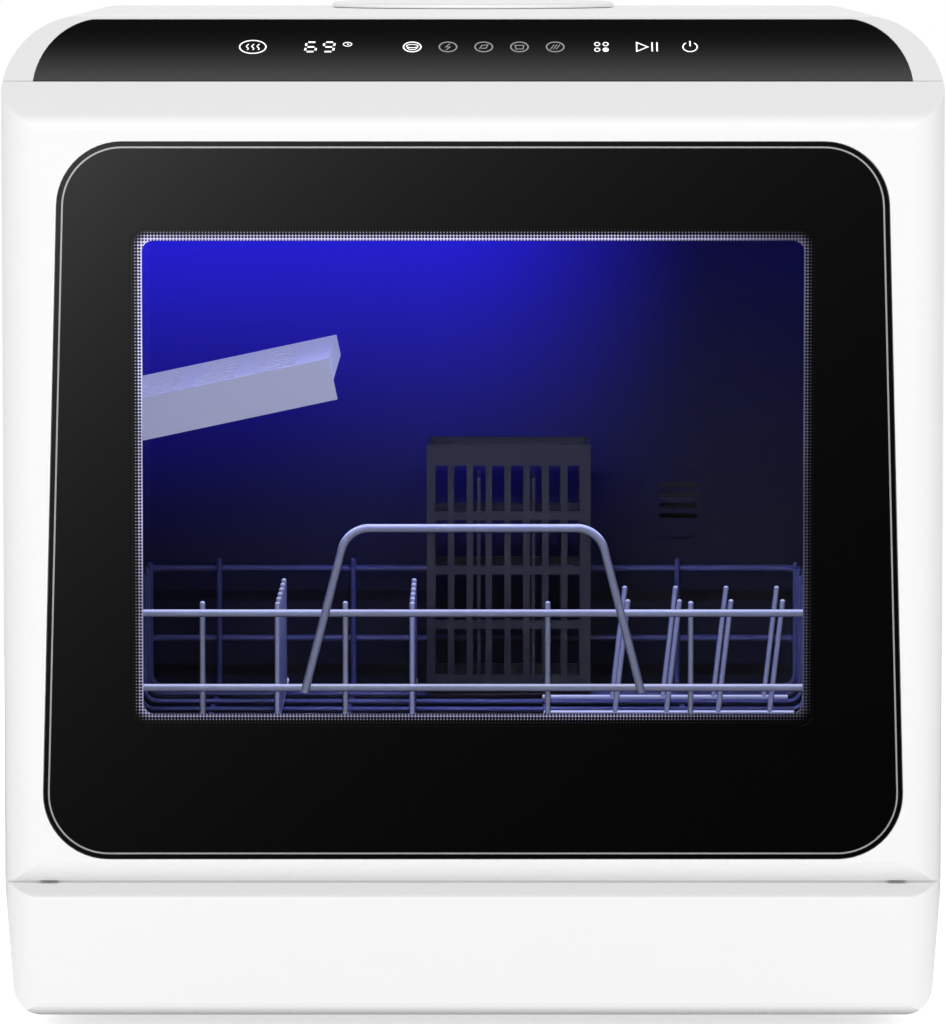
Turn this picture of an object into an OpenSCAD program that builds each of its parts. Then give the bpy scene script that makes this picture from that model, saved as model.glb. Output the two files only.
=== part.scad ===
// Countertop dishwasher with its own water tank.
// The origin is the middle of the footprint on the table, +Z is up and the door faces -Y.

/* [Body] */
// Width of the body
body_w = 420; // [400:2:440]
// Depth of the body from the door's face to the rear panel
body_d = 435; // [425:1:450]
// Height of the top cover above the table
body_top = 454; // [446:1:470]
// Height of the body's underside above the table
foot_h = 8; // [6:0.5:12]
// Wall of the plastic covers
skin = 2.5; // [2:0.1:3]
// Radius of the top corners, seen from the front
top_r = 34; // [26:1:38]
// Radius of the bottom corners, seen from the front
low_r = 14; // [10:1:18]
// How far each side leans in below the door
side_lean = 4; // [2:0.5:6]
// Radius of the upright edges, seen from above
edge_r = 16; // [12:1:18]
// Radius of the top edge at the back
back_r = 12; // [8:1:16]
// Clearance between covers
seam = 0.4; // [0.3:0.1:0.6]

/* [Slope and controls] */
// Drop of the slope from the top to the door's face
slope_drop = 44.5; // [42:0.5:48]
// Angle of the slope to the table
slope_a = 40; // [38:1:43]
// Blend from the slope to the door's face
slope_front_r = 12; // [8:1:16]
// Blend from the slope to the top
slope_top_r = 5; // [4:1:8]
// Gap between the control panel and the slope's upper edge
panel_top = 2.4; // [2:0.2:6]
// Thickness of the control panel
panel_t = 2; // [1.6:0.1:2.4]
// Radius of the control panel's curved ends
panel_r = 30; // [24:1:32]
// Margin from the body's side to the control panel
panel_margin = 14; // [11:1:18]

/* [Door] */
// Thickness of the door
door_t = 41.5; // [38:0.5:44]
// Height of the door's lower edge above the table
door_low = 68; // [66:1:74]
// Gap between the door's lower edge and the lower panel
door_gap = 1; // [0.8:0.1:1.6]
// Drop of the lower panel's sloped upper edge
ledge_drop = 5; // [3:0.5:6]
// Radius of the door's lower edge, about the hinge
hinge_r = 9.5; // [9:0.5:11]
// Radius of the hinge pin
hinge_pin_r = 3; // [2.5:0.25:3.5]
// Running clearance of each pin
pin_fit = 0.06; // [0.04:0.01:0.09]
// Thickness of the outer glass
glass_t = 3.2; // [3:0.1:4]
// Half width of the outer glass at its top
glass_top_hw = 184; // [178:1:188]
// Half width of the outer glass at its bottom
glass_low_hw = 192.5; // [188:0.5:194]
// Height of the glass's lower edge above the table
glass_low = 79; // [78:1:84]
// Height of the outer glass
glass_h = 320; // [312:1:321]
// Corner radius of the outer glass
glass_r = 29; // [22:1:32]
// Width of the clear window
window_w = 294; // [280:2:300]
// Height of the clear window
window_h = 212; // [200:2:216]
// Height of the window's lower edge above the table
window_low = 144; // [142:1:148]
// Thickness of the inner pane
pane_t = 3; // [2.5:0.5:4]
// Wall of the door's liner
liner_t = 2; // [1.6:0.2:2.4]

/* [Tub] */
// Inner width of the tub
tub_w = 344; // [336:2:352]
// Inner depth of the tub
tub_d = 266; // [256:2:270]
// Height of the tub's floor above the table
tub_floor = 99; // [97:1:101]
// Inner height of the tub
tub_h = 302; // [294:1:306]
// Wall of the tub
tub_t = 1.6; // [1.2:0.2:2]
// Inner corner radius of the tub
tub_r = 24; // [18:1:30]
// Thickness of the door's seal
seal_t = 3.2; // [2.8:0.1:3.4]

/* [Rack] */
// Radius of the rack's rails
rail_r = 1.7; // [1.4:0.1:2]
// Radius of the rack's tines and grid wires
wire_r = 1.3; // [1:0.1:1.5]
// Width of the rack
rack_w = 316; // [300:2:320]
// Height of the lower rail above the table
rail_low = 149; // [147:1:153]
// Height of the upper rail above the table
rail_high = 183; // [178:1:190]
// Height of the rack's grid above the table
grid_z = 126; // [125:0.5:128]
// Height of the handle's top bar above the table
handle_top = 222; // [210:1:230]
// Radius of the handle's wire
handle_r = 1.9; // [1.6:0.1:2.1]
// Half the distance between the handle's feet
handle_foot = 76; // [68:1:84]
// Half the length of the handle's top bar
handle_half = 57; // [50:1:62]
// Radius of the handle's bends
handle_bend = 13; // [9:1:16]
// Height of the plate tines above the grid
tine_h = 52; // [44:1:60]
// Distance between plate tines
tine_pitch = 24; // [22:1:30]

/* [Water] */
// Length of the spray arm
arm_len = 236; // [216:2:244]
// Number of jets on each half of the spray arm
jets = 5; // [3:1:6]
// Inner depth of the water tank
tank_d = 94; // [86:1:96]
// Height of the water tank
tank_h = 168; // [150:2:176]
// Radius of the filling lid
lid_r = 69; // [64:1:70]
// Thickness of the filling lid
lid_t = 2.7; // [2.4:0.1:3.2]
// Radius of the inlet spigot
inlet_r = 13.2; // [12:0.1:14]
// Radius of the drain spigot
drain_r = 9; // [8:0.5:10]
// Length of the inlet spigot
inlet_len = 16; // [12:1:20]
// Length of the drain spigot
drain_len = 24; // [18:1:26]

/* [Hidden] */
$fn = 64;

// Overshoot of a cut past the face that it opens
over = 1;
// A length longer than the whole body
far = 900;

front_y = -body_d / 2;
back_y = body_d / 2;
half_w = body_w / 2;

// Body
foot_r = 6;
slope_z = body_top - slope_drop;
slope_top_y = front_y + slope_drop / tan(slope_a);
slope_len = slope_drop / sin(slope_a);
cover_low = body_top - top_r;
rear_cap = 12.5;
rear_y = back_y - rear_cap;
pan_half = half_w - side_lean - low_r - 6;
foot_x = half_w - 38;
foot_in = 24;
screw_sink = 2;

// Door and hinge
door_back = front_y + door_t;
door_room = 4;
frame_y = door_back + door_room;
frame_t = 2;
hinge_y = front_y + hinge_r;
hinge_z = door_low + hinge_r;
seam_u = 24.5;
seam_slit = 0.8;
seam_lip = 3.4;
door_rise = 2.4;
seam_at = slope_point(seam_u, 0);
door_top = slope_point(seam_u, seam_lip)[1];
ledge_t = 2.5;
print_w = 8;
hinge_x = half_w - 21.5;
arm_t = 3;
arm_r = 5.5;
arm_drop = 2;
arm_room = 2.5;
arm_clear = 0.8;
pin_len = 18;
hinge_foot_w = 9;
hinge_root = 4;
hinge_root_w = 26;
glass_back = front_y + glass_t;
glass_top = glass_low + glass_h;
opening_w = window_w + 2 * print_w;
opening_h = window_h + 2 * print_w;
window_mid = window_low + window_h / 2;

// Control panel
panel_u = seam_u + seam_slit;
panel_len = slope_len - panel_u - panel_top;
panel_arc_z = slope_point(panel_u + panel_len, 0)[1] - panel_r + 0.3;
panel_arc_x = half_w - panel_margin - panel_r;
board_depth = 8;
board_t = 1.6;
key_x = [-100, -28, -12, 4, 20, 36, 58, 79, 99];
display_x = -67;
display_w = 26;

// Tub
tub_top = tub_floor + tub_h;
tub_mid = tub_floor + tub_h / 2;
tub_back = frame_y + tub_d;
flange = 12;
seal_w = 7;
arm_y = frame_y + tub_d / 2;
sump_x = 96;
sump_y = frame_y + 78;
sump_r = 40;
dish_r = 64;
dish_drop = 6;
sump_low = 30;
cup_r = 27;

// Spray arm
hub_r = 15;
hub_top = tub_floor + 9;
arm_low = hub_top + 0.5;
arm_h = 7;
arm_w = 30;
bush_r = 7;

// Rack
rack_front = frame_y + 20;
rack_back = tub_back - 16;
rack_mid = (rack_front + rack_back) / 2;
rack_len = rack_back - rack_front;
rack_corner = 9;
weld = 0.4;
bend_swell = 0.05;
post_in = rail_r + wire_r - weld;
post_x = [-123, -58, 34, 99];
bend = 6;
post_rise = 4;
side_x = rack_w / 2 - post_in;
cross_z = grid_z + 2 * wire_r - weld;
cross_y = [for (i = [0:5]) rack_front + 32 + i * (rack_len - 58) / 5];
tine_x = [-90, -28];
tine_z = cross_z + 2 * wire_r;
tine_spread = 12;
tine_lean = 6;
guide_t = 3;

// Cup shelf, turning about a pin along its left edge
shelf_x = -tub_w / 2 + 5;
shelf_z = 276;
shelf_a = 12;
shelf_y0 = frame_y + 26;
shelf_len = 190;
shelf_w = 104;
ear_w = 20;
ear_y = [14, shelf_len - 14 - ear_w];
pivot_r = 2.5;

// Latch
hook_y = frame_y + 26;
hook_z = door_top + 1;

// Pumps and fan
wash_x = -60;
wash_y = frame_y + 217;
wash_z = 56;
drain_pump_x = 128;
drain_pump_y = frame_y + 202;
drain_pump_z = 44;
fan_x = 100;
fan_y = tub_back + 34;
fan_z = 160;
duct_z = 215;
duct_r = 13;

// Water side
tank_w = body_w - 48;
tank_t = 2.5;
tank_y = tub_back + 14;
tank_top = body_top - 40;
lid_y = back_y - rear_cap - 0.5 - lid_r;
barrel_r = 1.3;
lid_pin_r = 0.7;
lid_hinge = [lid_y + lid_r + barrel_r, body_top + 0.35 + barrel_r];
neck_r = 22;
spout_z = 70;
spigot_gap = 1.5;
inlet_x = -122;
drain_x = -72;
gland_x = -20;
recess_x = -155;
recess_w = 162;
recess_low = 38;
recess_h = 64;
recess_d = 30;
recess_y = back_y - recess_d;

function slope_point(u, d) = [front_y + u * cos(slope_a) + d * sin(slope_a),
                              slope_z + u * sin(slope_a) - d * cos(slope_a)];

// Extrudes a drawing of (x, z) from y0 to y1
module along_y(y0, y1) {
  translate([0, y1, 0]) rotate([90, 0, 0]) linear_extrude(y1 - y0) children();
}

// Extrudes a drawing of (y, z) from x0 to x1
module along_x(x0, x1) {
  translate([x0, 0, 0]) rotate([90, 0, 90]) linear_extrude(x1 - x0) children();
}

module along_z(z0, z1) {
  translate([0, 0, z0]) linear_extrude(z1 - z0) children();
}

module both_sides() {
  children();
  mirror([1, 0, 0]) children();
}

module block(low, high) {
  translate(low) cube(high - low);
}

// A round bar from point p to point q
module rod(p, q, r) {
  d = q - p;
  reach = norm(d);
  translate(p) rotate([0, acos(d[2] / reach), atan2(d[1], d[0])]) cylinder(h = reach, r = r);
}

module pipe_y(x, z, y0, y1, r) {
  translate([x, y0, z]) rotate([-90, 0, 0]) cylinder(h = y1 - y0, r = r);
}

module pipe_x(y, z, x0, x1, r) {
  translate([x0, y, z]) rotate([0, 90, 0]) cylinder(h = x1 - x0, r = r);
}

module pipe_z(x, y, z0, z1, r) {
  translate([x, y, z0]) cylinder(h = z1 - z0, r = r);
}

module round_rect(w, h, r) {
  square([w - 2 * r, h], center = true);
  square([w, h - 2 * r], center = true);
  for (x = [-1, 1], y = [-1, 1]) translate([x * (w / 2 - r), y * (h / 2 - r)]) circle(r);
}

// The body seen from the front, drawn inwards by t
module front_outline(t) {
  low = [half_w - side_lean - low_r, foot_h + low_r];
  high = [half_w - top_r, body_top - top_r];
  lean_a = atan(side_lean / (door_low - low[1]));
  mirror_over = -1;
  both_sides() {
    polygon([[mirror_over, foot_h + t], [low[0], foot_h + t],
      low + (low_r - t) * [cos(lean_a), -sin(lean_a)], [half_w - t, door_low],
      [half_w - t, high[1]], [high[0], body_top - t], [mirror_over, body_top - t]]);
    translate(low) circle(low_r - t);
    translate(high) circle(top_r - t);
  }
}

// The body seen from its side as (y, z), drawn inwards by t
module side_outline(t) {
  turn = (90 - slope_a) / 2;
  front_c = [front_y + slope_front_r, slope_z - slope_front_r * tan(turn)];
  top_c = [slope_top_y + slope_top_r * tan(slope_a / 2), body_top - slope_top_r];
  back_c = [back_y - back_r, body_top - back_r];
  low_c = [front_y + foot_r, foot_h + foot_r];
  low_b = [back_y - foot_r, foot_h + foot_r];
  out = [-sin(slope_a), cos(slope_a)];
  polygon([[low_c[0], foot_h + t], [front_y + t, low_c[1]], [front_y + t, front_c[1]],
    front_c + (slope_front_r - t) * out, top_c + (slope_top_r - t) * out,
    [top_c[0], body_top - t], [back_c[0], body_top - t], [back_y - t, back_c[1]],
    [back_y - t, low_b[1]], [low_b[0], foot_h + t]]);
  translate(front_c) circle(slope_front_r - t);
  translate(top_c) circle(slope_top_r - t);
  translate(back_c) circle(back_r - t);
  translate(low_c) circle(foot_r - t);
  translate(low_b) circle(foot_r - t);
}

// The whole body as one solid, drawn inwards by t
module body_solid(t = 0) {
  intersection() {
    along_y(-far, far) front_outline(t);
    along_x(-far, far) side_outline(t);
    along_z(-far, far) round_rect(body_w - 2 * t, body_d - 2 * t, edge_r - t);
  }
}

module body_shell() {
  difference() {
    body_solid();
    body_solid(skin);
  }
}

// A slab along the slope, from u0 to u1 up it and from d0 to d1 deep
module slope_slab(u0, u1, d0, d1) {
  polygon([slope_point(u0, d0), slope_point(u1, d0), slope_point(u1, d1), slope_point(u0, d1)]);
}

// Everything below the seam, as (y, z)
module below_seam(slit, rise, back) {
  reach = 40;
  inner = door_top + rise;
  lip = slope_point(seam_u + slit, 0);
  lip_d = (lip[1] - inner) / cos(slope_a);
  polygon([[front_y - reach, -reach], [back, -reach], [back, inner],
    slope_point(seam_u + slit, lip_d), slope_point(seam_u + slit, -reach),
    [front_y - reach, lip[1]]]);
}

// The outer glass from the front, drawn outwards by g
module glass_outline(g) {
  spread = (glass_low_hw - glass_top_hw) / glass_h;
  lean_a = atan(spread);
  r = glass_r + g;
  function side_x(z) = glass_top_hw + (glass_top - z) * spread + g / cos(lean_a);
  top_c = [side_x(glass_top - glass_r) - r / cos(lean_a), glass_top - glass_r];
  low_c = [side_x(glass_low + glass_r) - r / cos(lean_a), glass_low + glass_r];
  out = r * [cos(lean_a), sin(lean_a)];
  mirror_over = -1;
  both_sides() {
    polygon([[mirror_over, glass_low - g], [low_c[0], glass_low - g], low_c + out,
      top_c + out, [top_c[0], glass_top + g], [mirror_over, glass_top + g]]);
    translate(top_c) circle(r);
    translate(low_c) circle(r);
  }
}

module at_window() {
  translate([0, window_mid]) children();
}

// ---- Covers ----

module base_pan() color("whitesmoke") {
  floor_t = 2.5;
  rim_h = 16;
  rib_t = 2;
  difference() {
    union() {
      block([-pan_half, frame_y, foot_h], [pan_half, rear_y - seam, foot_h + floor_t]);
      both_sides() block([pan_half - rib_t, frame_y, foot_h],
        [pan_half, rear_y - seam, foot_h + rim_h]);
      for (y = [frame_y, rear_y - seam - rib_t])
        block([-pan_half, y, foot_h], [pan_half, y + rib_t, foot_h + rim_h]);
      for (x = [-1, 0, 1]) block([x * 90 - rib_t / 2, frame_y, foot_h],
        [x * 90 + rib_t / 2, rear_y - seam, foot_h + floor_t + 4]);
      both_sides() for (y = [frame_y + foot_in, rear_y - foot_in]) pipe_z(foot_x, y, foot_h, foot_h + 9, 7);
    }
    both_sides() for (y = [frame_y + foot_in, rear_y - foot_in])
      pipe_z(foot_x, y, foot_h - over, foot_h + 7, 3);
    both_sides() block([hinge_x - hinge_foot_w - seam, frame_y - over, foot_h + floor_t],
      [far, frame_y + hinge_root + hinge_root_w + 1, far]);
  }
}

// One foot: a flat rubber dome on a stud
module foot() {
  rotate_extrude() polygon([[0, 0], [8, 0], [9.6, 0.6], [10.6, 1.8], [11, 3.4], [11, foot_h],
    [2.95, foot_h], [2.95, foot_h + 6.5], [0, foot_h + 6.5]]);
}

module feet() color("silver") {
  both_sides() for (y = [frame_y + foot_in, rear_y - foot_in]) translate([foot_x, y, 0]) foot();
}

module lower_front_panel() color("white") {
  intersection() {
    body_shell();
    along_x(-far, far) panel_zone();
  }
  intersection() {
    body_solid();
    along_x(-far, far) difference() {
      panel_zone();
      translate([0, -skin]) panel_zone();
    }
  }
}

// The lower panel's space as (y, z), with a slope along its front top edge
module panel_zone() {
  top = door_low - door_gap;
  back = frame_y - frame_t - seam;
  low = foot_h - over;
  edge_a = slope_a;
  edge_fillet = 3;
  run = ledge_drop / tan(edge_a);
  bend = [front_y + edge_fillet,
    top - ledge_drop - edge_fillet * (1 - sin(edge_a)) / cos(edge_a)];
  polygon([[front_y, low], [back, low], [back, top], [front_y + run, top],
    bend + edge_fillet * [-sin(edge_a), cos(edge_a)], [front_y, bend[1]]]);
  translate(bend) circle(edge_fillet);
}

module side_cover() {
  flange_w = 20;
  difference() {
    union() {
      intersection() {
        body_shell();
        block([pan_half + seam, frame_y, 0], [far, rear_y - seam, cover_low - seam]);
      }
      intersection() {
        body_solid(skin - 0.2);
        block([half_w - skin - flange_w, rear_y - seam - skin, foot_h + 20],
          [far, rear_y - seam, cover_low - seam]);
      }
    }
    screw_places() cylinder(h = 80, r = 1.6, center = true);
    for (i = [0:7]) translate([0, 70 + 9 * i, 60]) rotate([90, 0, 90])
      linear_extrude(far) round_rect(4, 34, 1.9);
  }
}

module side_cover_left() color("white") mirror([1, 0, 0]) side_cover();

module side_cover_right() color("white") side_cover();

module panel_outline(g) {
  low_z = slope_point(panel_u, 0)[1] - 2;
  intersection() {
    translate([-far, low_z - g]) square([2 * far, far]);
    union() {
      square([2 * (panel_arc_x + g), 2 * far], center = true);
      both_sides() translate([panel_arc_x, panel_arc_z]) circle(panel_r + g);
    }
  }
}

module top_cover() color("white") {
  web_t = 2.5;
  room = 0.25;
  difference() {
    union() {
      difference() {
        intersection() {
          union() {
            body_shell();
            intersection() {
              body_solid();
              along_x(-half_w + edge_r, half_w - edge_r) slope_slab(seam_u, slope_len - 1, 0, 5.5);
            }
          }
          block([-far, -far, cover_low], [far, far, far]);
        }
        along_x(-far, far) below_seam(seam_slit, door_rise, frame_y - frame_t - seam);
      }
      intersection() {
        body_solid();
        block([-far, front_y + 10, door_top + door_rise],
          [far, frame_y, door_top + door_rise + web_t]);
        along_x(-far, far) slope_slab(seam_u + seam_slit, far, 0, far);
      }
      for (x = [-14, 14]) {
        pipe_x(lid_hinge[0], lid_hinge[1], x - 4, x + 4, barrel_r);
        block([x - 4, lid_hinge[0] - 1, body_top - 1], [x + 4, lid_hinge[0] + 1, lid_hinge[1]]);
      }
    }
    intersection() {
      along_y(-far, far) panel_outline(room);
      along_x(-far, far) slope_slab(panel_u - over, panel_u + panel_len + room, -over,
        panel_t + 0.05);
    }
    along_x(-panel_arc_x + 20, panel_arc_x - 20)
      slope_slab(panel_u + 6, panel_u + panel_len - 8, -over, 12);
    pipe_z(0, lid_y, body_top - 20, body_top + over, lid_r - 8);
    pipe_x(lid_hinge[0], lid_hinge[1], -60, 60, lid_pin_r);
  }
}

module rear_panel() color("white") {
  slot_w = 4;
  difference() {
    union() {
      intersection() {
        body_shell();
        block([-far, rear_y, 0], [far, far, cover_low - seam]);
      }
      block([recess_x - skin, recess_y - skin, recess_low - skin],
        [recess_x + recess_w + skin, back_y - over, recess_low + recess_h + skin]);
      screw_places() translate([0, 0, -skin]) cylinder(h = screw_sink + skin - 0.1, r = 6.5);
    }
    block([recess_x, recess_y, recess_low],
      [recess_x + recess_w, back_y + over, recess_low + recess_h]);
    pipe_y(inlet_x, spout_z, recess_y - 2 * skin, recess_y + over, inlet_r + 0.3);
    pipe_y(drain_x, spout_z, recess_y - 2 * skin, recess_y + over, drain_r + 0.3);
    pipe_y(gland_x, spout_z, recess_y - 2 * skin, recess_y + over, 8.2);
    for (i = [-6:6]) translate([fan_x + 8 * i, 0, fan_z - 10]) rotate([90, 0, 0])
      linear_extrude(2 * far, center = true) round_rect(slot_w, 60, slot_w / 2 - 0.1);
    screw_places() cylinder(h = 40, r = 1.7, center = true);
    screw_places() cylinder(h = 20, r = 4.2);
  }
}

// The sunk seats of the rear panel's screws, pointing backwards
module screw_places() {
  both_sides() for (z = [60, cover_low - 60]) translate([half_w - 16, back_y - screw_sink, z])
    rotate([-90, 0, 0]) children();
}

module cover_screws() color("silver") screw_places() {
  head_h = 1.6;
  difference() {
    union() {
      cylinder(h = head_h, r = 3.4);
      translate([0, 0, -16]) cylinder(h = 16.5, r = 1.55);
    }
    for (a = [0, 90]) rotate(a) translate([-2.2, -0.4, head_h - 0.8]) cube([4.4, 0.8, 2]);
  }
}

module control_panel() color("black") {
  intersection() {
    along_y(-far, far) panel_outline(0);
    along_x(-far, far) slope_slab(panel_u, panel_u + panel_len, 0, panel_t);
  }
}

module control_board() color("darkgreen") {
  u0 = panel_u + 7;
  u1 = panel_u + panel_len - 9;
  along_x(-120, 120) slope_slab(u0, u1, board_depth, board_depth + board_t);
  for (x = key_x) along_x(x - 4, x + 4)
    slope_slab(u0 + 8, u0 + 15, panel_t + 0.2, board_depth + 0.1);
  along_x(60, 100) slope_slab(u1 - 11, u1 - 2, board_depth + board_t - 0.1, board_depth + 5);
}

module display_module() color("dimgray") {
  u0 = panel_u + 8;
  along_x(display_x - display_w / 2, display_x + display_w / 2)
    slope_slab(u0, u0 + 14, panel_t + 0.2, board_depth);
}

module front_frame() color("gainsboro") {
  frame_top = door_top + door_rise;
  difference() {
    intersection() {
      body_solid(skin + 0.2);
      block([-far, frame_y - frame_t, door_low - door_gap + seam],
        [far, frame_y, frame_top]);
    }
    along_y(-far, far) translate([0, tub_mid])
      round_rect(tub_w + 2 * seal_w + 4, tub_h + 2 * seal_w + 4, tub_r + seal_w + 2);
    both_sides() block([hinge_x - 1.2, -far, hinge_z - arm_r - 1],
      [hinge_x + arm_t + 1.2, 0, hinge_z + arm_r + 1]);
    block([-14, -far, tub_top + 13], [14, 0, door_top - 0.5]);
  }
}

// ---- Tub ----

module tub() color("lightsteelblue") {
  difference() {
    union() {
      along_y(frame_y, tub_back + tub_t) translate([0, tub_mid])
        round_rect(tub_w + 2 * tub_t, tub_h + 2 * tub_t, tub_r + tub_t);
      along_y(frame_y, frame_y + tub_t) translate([0, tub_mid])
        round_rect(tub_w + 2 * flange, tub_h + 2 * flange, tub_r + flange);
      translate([sump_x, sump_y, tub_floor - dish_drop - tub_t])
        cylinder(h = dish_drop, r1 = sump_r + 6, r2 = dish_r + 3);
    }
    along_y(frame_y - over, tub_back) translate([0, tub_mid]) round_rect(tub_w, tub_h, tub_r);
    translate([sump_x, sump_y, tub_floor - dish_drop])
      cylinder(h = dish_drop + 0.01, r1 = sump_r + 3, r2 = dish_r);
    pipe_z(sump_x, sump_y, tub_floor - 20, tub_floor, sump_r);
    pipe_z(0, arm_y, tub_floor - 5, tub_floor + over, hub_r - 4);
    pipe_y(fan_x, duct_z, tub_back - over, tub_back + 5, duct_r + 1);
  }
}

// The slotted cover of the drying air's way into the tub
module air_grille() color("lightsteelblue") {
  rim = 5;
  plate_t = 1.6;
  slots = 4;
  pitch = 5;
  difference() {
    union() {
      pipe_y(fan_x, duct_z, tub_back - plate_t, tub_back, duct_r + rim);
      pipe_y(fan_x, duct_z, tub_back - plate_t, tub_back + tub_t, duct_r + 0.7);
    }
    pipe_y(fan_x, duct_z, tub_back, far, duct_r - 0.8);
    for (i = [0:slots - 1]) translate([fan_x, 0, duct_z + (i - (slots - 1) / 2) * pitch])
      along_y(-far, far) round_rect(2 * sqrt(pow(duct_r - 1, 2) - pow((slots - 1) / 2 * pitch, 2)),
        2.4, 1.1);
  }
}

module door_seal() color("dimgray") {
  mid = tub_r + seal_w / 2 + 1;
  difference() {
    along_y(frame_y - seal_t, frame_y) translate([0, tub_mid])
      round_rect(tub_w + 2 * seal_w + 2, tub_h + 2 * seal_w + 2, tub_r + seal_w + 1);
    along_y(-far, far) translate([0, tub_mid]) round_rect(tub_w + 2, tub_h + 2, tub_r + 1);
    along_y(frame_y - seal_t - over, frame_y - seal_t + 1.2) translate([0, tub_mid]) difference() {
      round_rect(tub_w + 2 * seal_w - 2, tub_h + 2 * seal_w - 2, mid + 1);
      round_rect(tub_w + 6, tub_h + 6, mid - 1);
    }
  }
}

module interior_lamp() color("royalblue") {
  difference() {
    block([-70, frame_y + 14, tub_top - 5], [70, frame_y + 26, tub_top]);
    for (i = [-5:5]) pipe_z(i * 12, frame_y + 20, tub_top - 6, tub_top - 4, 2.5);
  }
}

module sump() color("slategray") {
  wall = 2.5;
  difference() {
    union() {
      pipe_z(sump_x, sump_y, sump_low, tub_floor - dish_drop - 0.2, sump_r - 0.3);
      pipe_y(sump_x, sump_low + 16, sump_y, sump_y + sump_r + 22, 11);
      pipe_x(sump_y, sump_low + 16, sump_x - sump_r - 22, sump_x, 9);
    }
    pipe_z(sump_x, sump_y, sump_low + wall, far, sump_r - 0.3 - wall);
    pipe_y(sump_x, sump_low + 16, sump_y, sump_y + sump_r + 23, 9);
    pipe_x(sump_y, sump_low + 16, sump_x - sump_r - 23, sump_x, 7);
  }
}

module filter_plate() color("silver") {
  low = tub_floor - dish_drop;
  difference() {
    translate([sump_x, sump_y, low]) cylinder(h = dish_drop - 1, r1 = sump_r + 2.6, r2 = dish_r - 4);
    translate([sump_x, sump_y, low + 1.5]) cylinder(h = dish_drop, r1 = sump_r + 2.6, r2 = dish_r - 3);
    pipe_z(sump_x, sump_y, 0, far, cup_r + 4);
    for (ring = [0:1]) for (i = [0:23]) rotate_about(sump_x, sump_y, i * 15 + ring * 7.5)
      pipe_z(sump_x + cup_r + 8 + 5 * ring, sump_y, 0, far, 1.2);
  }
}

module rotate_about(x, y, a) {
  translate([x, y, 0]) rotate(a) translate([-x, -y, 0]) children();
}

module filter_cup() color("dimgray") {
  low = sump_low + 12;
  top = tub_floor - 1.5;
  rim = 2;
  rib = 3;
  window = (top - low - 20 - rib) / 2;
  difference() {
    union() {
      pipe_z(sump_x, sump_y, low, top, cup_r);
      pipe_z(sump_x, sump_y, top - 2, top, cup_r + 3.4);
    }
    pipe_z(sump_x, sump_y, low + rim, top + over, cup_r - rim);
    for (z = [low + 6, low + 6 + window + rib], i = [0:7]) rotate_about(sump_x, sump_y, (i + 0.5) * 45)
      block([sump_x, sump_y - 6.5, z], [sump_x + cup_r + over, sump_y + 6.5, z + window]);
  }
  block([sump_x - cup_r + 1, sump_y - 1.5, top - 12], [sump_x + cup_r - 1, sump_y + 1.5, top + 2]);
}

module spray_hub() color("slategray") {
  difference() {
    union() {
      pipe_z(0, arm_y, tub_floor, tub_floor + 3, hub_r + 6);
      pipe_z(0, arm_y, 60, hub_top, hub_r - 4.2);
      pipe_z(0, arm_y, tub_floor, hub_top, hub_r - 2);
      pipe_z(0, arm_y, tub_floor, arm_low + arm_h + 1, bush_r);
    }
    pipe_z(0, arm_y, 59, arm_low + arm_h + 2, bush_r - 2);
  }
}

// The arm from above: two blades that taper to round tips
module arm_outline() {
  tip_r = 9;
  tip_x = arm_len / 2 - tip_r;
  circle(arm_w / 2);
  for (a = [0, 180]) rotate(a) {
    polygon([[0, -arm_w / 2 + 2], [tip_x, -tip_r], [tip_x, tip_r], [0, arm_w / 2 - 2]]);
    translate([tip_x, 0]) circle(tip_r);
  }
}

module spray_arm() color("gray") {
  step = (arm_len / 2 - 30) / jets;
  difference() {
    translate([0, arm_y, 0]) union() {
      along_z(arm_low, arm_low + arm_h) arm_outline();
      pipe_z(0, 0, arm_low, arm_low + arm_h + 0.5, arm_w / 2);
      for (a = [0, 180], i = [1:jets]) rotate(a)
        translate([18 + i * step, 0, arm_low + arm_h - 0.5]) cylinder(h = 1.5, r1 = 4, r2 = 3);
    }
    pipe_z(0, arm_y, 0, far, bush_r + pin_fit);
    for (a = [0, 180], i = [1:jets]) rotate_about(0, arm_y, a)
      pipe_z(18 + i * step, arm_y, arm_low + 2, far, 1.2);
  }
}

module upper_nozzle() color("gray") {
  difference() {
    union() {
      pipe_z(0, arm_y, tub_top - 9, tub_top, 24);
      pipe_z(0, arm_y, tub_top - 12, tub_top - 8, 17);
    }
    for (i = [0:9]) rotate_about(0, arm_y, i * 36) pipe_z(12.5, arm_y, 0, tub_top - 5, 1.3);
    pipe_z(0, arm_y, 0, tub_top - 6, 2);
  }
}

// ---- Pumps, heater and air ----

module wash_pump() color("dimgray") {
  volute_r = 38;
  volute_w = 28;
  wall = 3;
  difference() {
    union() {
      pipe_x(wash_y, wash_z, wash_x, wash_x + volute_w, volute_r);
      pipe_x(wash_y, wash_z, wash_x - 72, wash_x, 31);
      pipe_x(wash_y, wash_z, wash_x - 78, wash_x - 72, 14);
      pipe_x(wash_y, wash_z, wash_x + volute_w, wash_x + volute_w + 20, 14);
      pipe_y(wash_x + volute_w / 2, wash_z + volute_r - 12, arm_y + 20, wash_y, 11);
      for (x = [-60, -20]) block([wash_x + x, wash_y - 26, foot_h + 2.5],
        [wash_x + x + 8, wash_y + 26, wash_z - 12]);
    }
    pipe_x(wash_y, wash_z, wash_x + wall, wash_x + volute_w - wall, volute_r - wall);
    pipe_x(wash_y, wash_z, wash_x + volute_w - wall - over, far, 11);
    pipe_x(wash_y, wash_z, wash_x - 40, wash_x + wall + over, 3 + pin_fit);
    pipe_y(wash_x + volute_w / 2, wash_z + volute_r - 12, -far, wash_y, 8.5);
  }
}

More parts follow.
